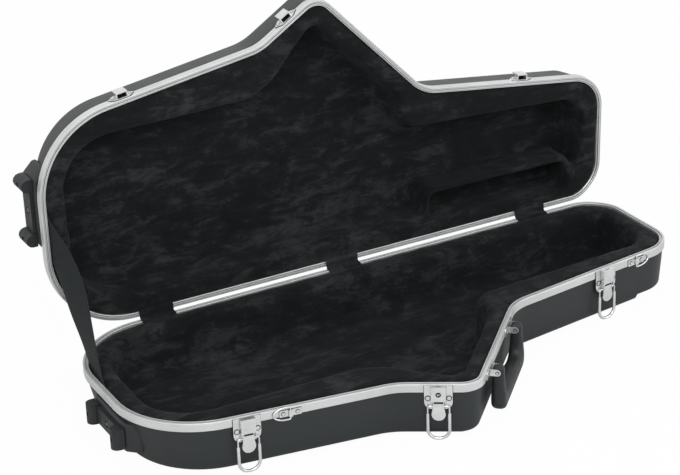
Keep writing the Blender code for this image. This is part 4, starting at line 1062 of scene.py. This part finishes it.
def dark_ring(inner, outer, low, high):
    """The shadow gap round a head or a cylinder, facing -Y."""
    corners = [(inner, -low), (outer, -low), (outer, -high), (inner, -high), (inner, -low)]
    return turned(corners, False)


HOUSING_FACE = PLATE_FACE + 0.0068
LOCK_PROUD = 0.0002
LOCK_DROP = 0.0105
HOOK_REACH = 0.007
HOOK_HALF = 0.008
HOOK_SKIN = 0.0014
HOOK_LOW = 0.0035
HOOK_HIGH = 0.0125

# Painted shade layers behind the plates, which show as a dark shadow line round each: width, top,
# bottom, corner, and whether the ends are pointed
PLATE_SHADE_LAYER = (0.0371, -0.0006, -0.0346, 0.0106)
CATCH_SHADE_LAYER = (0.0378, 0.0156, 0.0014, 0.0084, True)
CLIP_SHADE_LAYER = (0.0298, 0.0049, -0.0049, 0.0006)

# Painted shadow rings: inner and outer radius, start and end of the height
SCREW_SHADOW = (0.0027, 0.0037, 0.0003, 0.00044)
CATCH_RIVET_SHADOW = (0.0017, 0.0024, 0.00002, 0.00012)
CLIP_RIVET_SHADOW = (0.0021, 0.0029, 0.00002, 0.00014)
LOCK_SHADOW = (0.0026, 0.0035, 0.00002, 0.00012)
LOCK_PLUG_SHADOW = (0.0016, 0.0025, LOCK_PROUD, LOCK_PROUD + 0.00008)
EAR_PIN_SHADOW = (0.0016, 0.0026, -0.00002, 0.00012)
BRACKET_RIVET_SHADOW = (0.0023, 0.0032, 0.00002, 0.00014)
CATCH_RIVET = (0.0125, 0.0085)


def plate_shadow_line(width, top, low, corner, pointed=False):
    """Painted shade: the dark shadow line round a plate screwed over the rim, as a thin dark layer
    behind it.
    """
    half = width / 2
    if pointed:
        middle = (top + low) / 2
        points = [(half, middle), (half - corner, top), (corner - half, top)]
        points += [(-half, middle), (corner - half, low), (half - corner, low)]
    else:
        points = [(half, top), (-half, top)]
        for side in (-1, 1):
            for angle in quarter_turn(6)[::-side]:
                a = side * (half - corner + corner * cos(angle))
                points.append((a, low + corner - corner * sin(angle)))
    levels = (0.00002 - PLATE_BACK, 0.00025 - PLATE_BACK)
    return lofted([[Vector((a, level, c)) for a, c in points] for level in levels], True, True)


# The painted shade coil between a housing and its lever: its turns, reach, radius, the wave of its
# outer face, and inner radius
SHADE_COIL_TURNS = 7
SHADE_COIL_REACH = 0.0060
SHADE_COIL_RADIUS = 0.00258
SHADE_COIL_WIRE = 0.00005
SHADE_COIL_INNER = 0.0024


def lever_shade_coil():
    """Painted shade: a dark coil about the lever's pin that stands for the shadow between a housing
    and its lever.
    """
    rings = []
    steps = 6 * SHADE_COIL_TURNS
    arc = [radians(100 - 120 * k / 11) for k in range(12)]
    for step in range(steps + 1):
        along = SHADE_COIL_REACH * (2 * step / steps - 1)
        radius = SHADE_COIL_RADIUS + SHADE_COIL_WIRE * cos(2 * pi * step / 6)
        ring = []
        for size, angles in ((radius, arc), (SHADE_COIL_INNER, arc[::-1])):
            ring += [Vector((along, -size * cos(a), size * sin(a))) for a in angles]
        rings.append(ring)
    return lofted(rings, True, True)


def make_latch_details():
    """Screws, soft edges on pressed parts, and painted shade: a dark coil about each lever's pin and
    dark insides of the housings and hooks.
    """
    face = -PLATE_FACE
    for name, seat in LATCH_SPOTS.items():
        spot = wall_spot(*seat)
        heads = []
        # Painted shade at the back of the housing, round the plate and round the screws
        shadows = [
            block((-0.0079, face - 0.00012, -0.0266), (0.0079, face - 0.00004, -0.0022)),
            plate_shadow_line(*PLATE_SHADE_LAYER),
        ]
        for side in (-1, 1):
            place = (side * SCREW_SIDE, face, -SCREW_DROP)
            heads.append(shifted(screw_head(), *place))
            shadows.append(shifted(screw_cross_shade(), *place))
            shadows.append(shifted(dark_ring(*SCREW_SHADOW), *place))
        piece(f"{name}_latch_screws", merged(heads), NICKEL, "base", spot)
        piece(f"{name}_latch_shadows", merged(shadows), PAINTED_SHADE, "base", spot)
        # Painted shade between the housing and the lever, a dark coil riding on the lever
        pivot = spot @ Matrix.Translation((0, -LEVER_OUT, -LEVER_DROP))
        piece(f"{name}_lever_shade_coil", lever_shade_coil(), PAINTED_SHADE, f"lever_{name}", pivot)
        soften_node(f"latch_{name}_plate", 0.0010, 4)
        soften_node(f"latch_{name}_lever", 0.0004, 3)
        paint_node(f"latch_{name}_pin")
        soften_node(f"catch_{name}", 0.0004, 3)
        # Painted shade inside the catch's hook and round its plate and rivets
        room = HOOK_HALF - HOOK_SKIN - 0.0001
        roof = HOOK_HIGH - HOOK_SKIN
        lip = face - HOOK_REACH + HOOK_SKIN
        hook_shade = [
            block((-room, lip, roof - 0.0005), (room, face, roof - 0.0001)),
            block((-room, face - 0.0003, HOOK_LOW + 0.0005), (room, face - 0.0001, roof)),
            plate_shadow_line(*CATCH_SHADE_LAYER),
        ]
        for side in (-1, 1):
            ring = dark_ring(*CATCH_RIVET_SHADOW)
            hook_shade.append(shifted(ring, side * CATCH_RIVET[0], face, CATCH_RIVET[1]))
        piece(f"{name}_catch_shadows", merged(hook_shade), PAINTED_SHADE, "lid", LID_FRAME @ spot)
    soften_node("lock_cylinder", 0.00015)
    lock = wall_spot(*LATCH_SPOTS["apex"]) @ Matrix.Translation((0, -HOUSING_FACE, -LOCK_DROP))
    # Painted shade: the keyway, the gap round the lock and the edge of its plug are dark pieces
    # where shade falls.
    keyway = block((-0.0006, -0.00015, -0.0018), (0.0006, 0.0012, 0.0018))
    piece("lock_keyway", keyway, PAINTED_SHADE, "lock", lock)
    piece("lock_shadow", dark_ring(*LOCK_SHADOW), PAINTED_SHADE, "base", lock)
    piece("lock_plug_shadow", dark_ring(*LOCK_PLUG_SHADOW), PAINTED_SHADE, "lock", lock)


# The D rings: wall, place along it and the way each ring points; then their sizes
RING_SPOTS = {"bell": (FRONT_WALL, 0.1745, -1), "neck": (NECK_WALL, 0.7860, 1)}
RING_HALF = 0.0085
RING_REACH = 0.0225
RING_WIRE = 0.00115
RING_CORNER = 0.0022
RING_BEND = 0.72 * RING_REACH
RING_STEPS = 28
CLIP_DROP = 0.0072
CLIP_RIVET_SIDE = 0.0095
CLIP_THICK = 0.0009


def make_rings():
    """Strap clips with their rivets and the D rings that hang in them."""
    low = RING_HALF - RING_CORNER
    for name, (wall, along, side) in RING_SPOTS.items():
        soften_node(f"strap_clip_{name}")
        clip = wall_spot(wall, along=along, height=-CLIP_DROP)
        spot = clip @ Matrix.Translation((0, -(PLATE_BACK + FIT + RING_WIRE), 0))
        places = [(0, low), (0, 0), (0, -low)]
        for angle in quarter_turn(6):
            out = RING_CORNER * (1 - cos(angle))
            places.append((out, RING_CORNER * (1 - sin(angle)) - RING_HALF))
        for step in range(RING_STEPS + 1):
            angle = pi * step / RING_STEPS - pi / 2
            out = RING_REACH - RING_BEND + RING_BEND * cos(angle)
            places.append((out, RING_HALF * sin(angle)))
        for angle in quarter_turn(6):
            out = RING_CORNER * (1 - sin(angle))
            places.append((out, RING_HALF - RING_CORNER * (1 - cos(angle))))
        points = [(spot @ Vector((side * out, 0, level)), RING_WIRE) for out, level in places]
        ring = wire(f"{name}_ring_wire", points, f"ring_{name}", True)
        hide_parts(f"strap_ring_{name}")
        shadows = []
        for place in (-CLIP_RIVET_SIDE, CLIP_RIVET_SIDE):
            shadow = dark_ring(*CLIP_RIVET_SHADOW)
            shadows.append(shifted(shadow, place, -PLATE_BACK - CLIP_THICK, 0))
        shadows.append(plate_shadow_line(*CLIP_SHADE_LAYER))
        piece(f"{name}_clip_shadows", merged(shadows), PAINTED_SHADE, "base", clip)


HANDLE_SPAN = 0.123
HANDLE_SHIFT = -0.0075
HANDLE_PIN_DROP = 0.0065
HANDLE_PIN_OUT = 0.0195
HANDLE_FLARE = 0.0021
HANDLE_VOXEL = 0.0011
EAR_FACE = 0.00915
BRACKET_RIVET_SIDE = 0.0162
BRACKET_RIVET_DROP = 0.0070
BRACKET_THICK = 0.0014


def make_handle():
    """The moulded grip: the frame's form, fuller below its pins, with fully rounded flanks."""
    mesh = voxelled(node_mesh("handle_grip"), HANDLE_VOXEL, 26)
    middle = wall_spot(HANDLE_WALL) @ Matrix.Translation((HANDLE_SHIFT, 0, 0))
    pivot = middle @ Matrix.Translation((0, -HANDLE_PIN_OUT, -HANDLE_PIN_DROP))
    mesh.transform(pivot.inverted())
    for vertex, normal in with_normals(mesh):
        share = clamped((-vertex.co.z - 0.008) / 0.030)
        vertex.co += Vector((normal.x, normal.y, 0.4 * normal.z)) * HANDLE_FLARE * share
    grip = piece("handle_moulding", mesh, MOULDING, "handle", pivot, 180)
    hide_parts("handle_grip")
    for side in ("apex", "neck"):
        soften_node(f"handle_bracket_{side}", 0.0003)
        soften_node(f"handle_pin_{side}")
    shadows = []
    sideways = Matrix.Rotation(pi / 2, 4, "Z")
    face = -PLATE_BACK - BRACKET_THICK
    for side in (-HANDLE_SPAN / 2, HANDLE_SPAN / 2):
        for way in (-1, 1):
            ring = dark_ring(*EAR_PIN_SHADOW)
            ring.transform(sideways if way > 0 else sideways.inverted())
            shadows.append(shifted(ring, side + way * EAR_FACE, -HANDLE_PIN_OUT, -HANDLE_PIN_DROP))
            ring = dark_ring(*BRACKET_RIVET_SHADOW)
            out = side + way * BRACKET_RIVET_SIDE
            shadows.append(shifted(ring, out, face, -BRACKET_RIVET_DROP))
    piece("handle_bracket_shadows", merged(shadows), PAINTED_SHADE, "base", middle)


FOOT_CENTRE = 0.039
FOOT_FACE = 0.0116


def make_small_parts():
    """The end feet with their screws, the strap's plates and the hinges."""
    for half, place, sign in (("base", Matrix.Identity(4), -1), ("lid", LID_FRAME, 1)):
        soften_node(f"{half}_end_foot", 0.0016, 4, MOULDING)
        soften_node(f"{half}_foot_screw")
        shadow = dark_ring(0.0027, 0.0045, FOOT_FACE - 0.0003, FOOT_FACE)
        spot = place @ wall_spot(BELL_WALL, out=FOOT_OUT, height=sign * FOOT_CENTRE)
        piece(f"{half}_foot_screw_shadow", shadow, PAINTED_SHADE, half, spot)
        paint_node(f"strap_plate_{half}")
    for number in range(1, len(HINGE_PLACES) + 1):
        for half in ("base", "lid"):
            soften_node(f"hinge_{number}_{half}_leaf")
        paint_node(f"hinge_{number}_pin")


WHITE = (1.0, 1.0, 1.0, 1.0)
FLOOR_PALE = (0.92, 0.92, 0.92, 1.0)
FLOOR_HALF = 6.0
FLOOR_LEVEL = -0.0002
FLOOR_SHARE = 0.97
WORLD_LIGHT = 0.50


def blended(tree, share, first, second, end):
    """Mixes two shaders by a share into a tree's end."""
    tree.links.new(wired(tree, "MixShader", "Shader", share, first, second), end)


def make_stage():
    """A pale floor that the eye sees as white; it keeps the object's soft shadow."""
    work = bmesh.new()
    bmesh.ops.create_grid(work, x_segments=1, y_segments=1, size=FLOOR_HALF)
    mesh = shifted(baked(work, "floor"), 0, 0, FLOOR_LEVEL)
    floor = link(bpy.data.objects.new("floor", mesh))
    paint = bpy.data.materials.new("pale_floor")
    paint.use_nodes = True
    tree = paint.node_tree
    tree.nodes.clear()
    end = tree.nodes.new("ShaderNodeOutputMaterial").inputs["Surface"]
    matte = wired(tree, "BsdfDiffuse", "BSDF", Color=FLOOR_PALE)
    glow = wired(tree, "Emission", "Emission", Color=WHITE, Strength=1.0)
    seen = wired(tree, "LightPath", "Is Camera Ray")
    blended(tree, computed(tree, "MULTIPLY", seen, FLOOR_SHARE), matte, glow, end)
    mesh.materials.append(paint)


def make_surround():
    """A white world for the eye and for reflections, and a dimmer one for the light it gives."""
    surround = bpy.data.worlds.new("surround")
    bpy.context.scene.world = surround
    surround.use_nodes = True
    tree = surround.node_tree
    light = wired(tree, "Background", "Background", Color=WHITE, Strength=WORLD_LIGHT)
    seen = wired(tree, "Background", "Background", Color=WHITE, Strength=1.0)
    ray = wired(tree, "LightPath", "Is Camera Ray")
    either = computed(tree, "MAXIMUM", ray, ray.node.outputs["Is Glossy Ray"])
    tree.nodes.remove(tree.nodes["Background"])
    blended(tree, either, light, seen, tree.nodes["World Output"].inputs["Surface"])


# The lamps: name, place, aim, width and height, and power
LAMPS = (
    ("key", (-1.2, -2.2, 1.9), (0, 0, 0.1), (1.6, 1.2), 34),
    ("fill", (1.9, -1.8, 1.2), (0.1, 0, 0.1), (1.4, 1.4), 14),
    ("top", (0.0, 0.6, 2.6), (0, 0.1, 0.1), (2.2, 1.4), 7),
)


def make_lamps():
    """Soft rectangular lamps that face their aims."""
    for name, place, aim, (width, height), power in LAMPS:
        lamp = bpy.data.lights.new(name, "AREA")
        lamp.shape = "RECTANGLE"
        lamp.size = width
        lamp.size_y = height
        lamp.energy = power
        obj = link(bpy.data.objects.new(name, lamp))
        obj.location = place
        obj.rotation_euler = (Vector(aim) - Vector(place)).to_track_quat("-Z", "Y").to_euler()


# The camera: angles in degrees, distance from its aim in metres, lens in millimetres
CAMERA_AZIMUTH = -28.29
CAMERA_HEIGHT = 24.44
CAMERA_ROLL = -2.182
CAMERA_DISTANCE = 3.1912
CAMERA_AIM = (0.024, 0.14, 0.1251)
CAMERA_LENS = 121.76
CAMERA_SENSOR = 36.0


def make_camera():
    """The camera at the photograph's viewing angle."""
    camera = bpy.data.cameras.new("camera")
    camera.lens = CAMERA_LENS
    camera.sensor_width = CAMERA_SENSOR
    obj = link(bpy.data.objects.new("camera", camera))
    obj.rotation_mode = "QUATERNION"
    obj.matrix_world = (
        Matrix.Translation(CAMERA_AIM)
        @ Matrix.Rotation(radians(CAMERA_AZIMUTH), 4, "Z")
        @ Matrix.Rotation(radians(90.0 - CAMERA_HEIGHT), 4, "X")
        @ Matrix.Rotation(radians(CAMERA_ROLL), 4, "Z")
        @ Matrix.Translation((0, 0, CAMERA_DISTANCE))
    )
    bpy.context.scene.camera = obj


make_shells()
make_valances()
plush_block("base", Matrix.Identity(4), seed=0.0)
plush_block("lid", LID_FRAME, seed=3.7)
make_strap()
make_covers()
make_bails()
make_latch_details()
make_rings()
make_handle()
make_small_parts()
make_stage()
make_surround()
make_lamps()
make_camera()
bpy.context.scene.view_settings.view_transform = "Standard"
